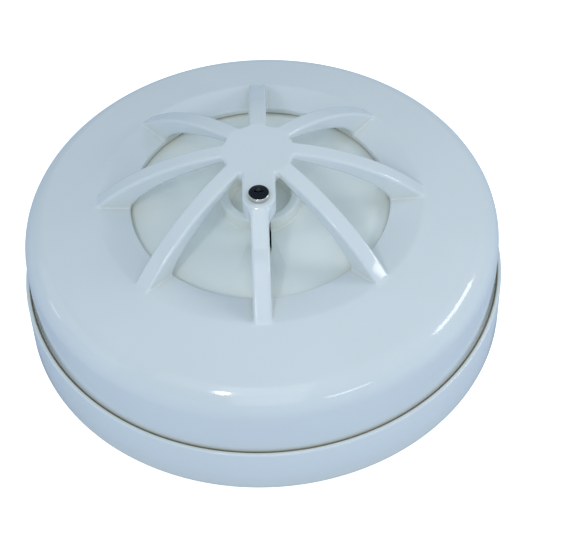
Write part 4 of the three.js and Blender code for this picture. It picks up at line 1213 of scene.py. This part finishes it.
on_board("controller_chip", chip(10, 7.4, 2.2, 8), "black_epoxy", "microcontroller")
on_board("rectifier_chip", chip(8, 6.4, 2.4, 2), "black_epoxy", "bridge_rectifier")
on_board("capacitor_can", capacitor(), "black_epoxy", "smoothing_capacitor")
on_board("varistor_disc", varistor(), "blue_epoxy", "surge_varistor")
on_board("transistor_case", transistor(), "black_epoxy", "output_transistor")
on_board("reference_bead", reference_bead(), "sensor_epoxy", "reference_thermistor")
film_resistor = resistor()
for i in range(1, 5):
    on_board(f"film_resistor_{i}", film_resistor, "resistor_tan", f"resistor_{i}")


# ---- stage, camera and lights
def stage_floor():
    """A wide pale floor that glows to the camera only."""
    look = Look("floor_white", (0.58, 0.66, 0.79), 0.6)
    look.set("Emission Color", (1, 1, 1, 1))
    seen = look.add("ShaderNodeLightPath").outputs["Is Camera Ray"]
    look.set("Emission Strength", look.share(seen, 0.9))
    grain = look.add("ShaderNodeTexNoise", {"Scale": 40.0, "Detail": 2.0})
    look.set("Roughness", look.spread(grain.outputs[0], 0.55, 0.65))
    half = 3000
    mesh = mesh_of([(x * half, y * half, 0) for x, y in CORNERS], [(0, 1, 2, 3)], look.material)
    standing("floor", mesh)


def camera():
    """A long lens a little right of the screw's rib, looking down on the cage."""
    elevation, roll = math.radians(49.39), math.radians(-1.95)
    aim, distance, shift = Vector((0, 0, 10.8)), 315.8, (4.27, -3.11)
    back = Vector((0, -math.cos(elevation), math.sin(elevation)))
    right, up = Vector((1, 0, 0)), Vector((0, math.sin(elevation), math.cos(elevation)))
    across = right * math.cos(roll) + up * math.sin(roll)
    upward = up * math.cos(roll) - right * math.sin(roll)
    place = aim + back * distance + across * shift[0] + upward * shift[1]
    data = bpy.data.cameras.new("camera")
    data.lens, data.sensor_width = 95.24, 36.0
    data.clip_start, data.clip_end = 0.01, 20.0
    thing = standing("camera", data)
    turn = Matrix((across, upward, back)).transposed().to_4x4()
    thing.matrix_world = Matrix.Translation(place * MM) @ turn
    bpy.context.scene.camera = thing


LIGHT_DISTANCE, LIGHT_AIM = 0.9, Vector((0, 0, 0.02))


def light(name, azimuth, elevation, size, power, color, gloss=True):
    """An area light aimed at the detector; azimuth runs clockwise from +Y, sizes are in metres."""
    a, e = math.radians(azimuth), math.radians(elevation)
    way = Vector((math.sin(a) * math.cos(e), math.cos(a) * math.cos(e), math.sin(e)))
    data = bpy.data.lights.new(name, "AREA")
    data.shape, data.size, data.size_y = "RECTANGLE", *size
    data.energy, data.color = power, color
    thing = standing(name, data)
    place = Matrix.Translation(way * LIGHT_DISTANCE + LIGHT_AIM)
    thing.matrix_world = place @ way.to_track_quat("Z", "Y").to_matrix().to_4x4()
    thing.visible_glossy = gloss


def lights():
    """Soft boxes for the tone of the faces, small bright ones that show most in the gloss, and one lamp that
    the gloss does not see.
    """
    cool, plain, warm = (0.93, 0.97, 1.0), (1, 1, 1), (1.0, 0.97, 0.93)
    light("camera_box", 180, 55, (0.45, 0.45), 0.72, warm)
    light("front_box", 180, 25, (0.45, 0.45), 0.65, plain)
    light("left_front_box", -145, 55, (0.45, 0.45), 0.25, plain)
    light("low_left_box", -90, 25, (0.9, 0.4), 0.55, cool)
    light("right_lamp", 88, 28, (0.4, 0.14), 1.4, plain)
    light("rear_lamp", 48, 48, (0.16, 0.16), 0.45, plain, gloss=False)
    light("flash", -159, 45, (0.06, 0.14), 0.85, cool)
    light("low_strip", 148, 10.5, (0.28, 0.05), 0.3, plain)
    light("left_strip", -84, 8, (0.14, 0.12), 0.1, cool)
    world = bpy.data.worlds.new("studio")
    world.use_nodes = True
    sky = world.node_tree.nodes["Background"].inputs
    sky["Color"].default_value = (0.74, 0.88, 1.0, 1)
    sky["Strength"].default_value = 0.49
    bpy.context.scene.world = world
    bpy.context.scene.view_settings.view_transform = "Standard"


stage_floor()
camera()
lights()
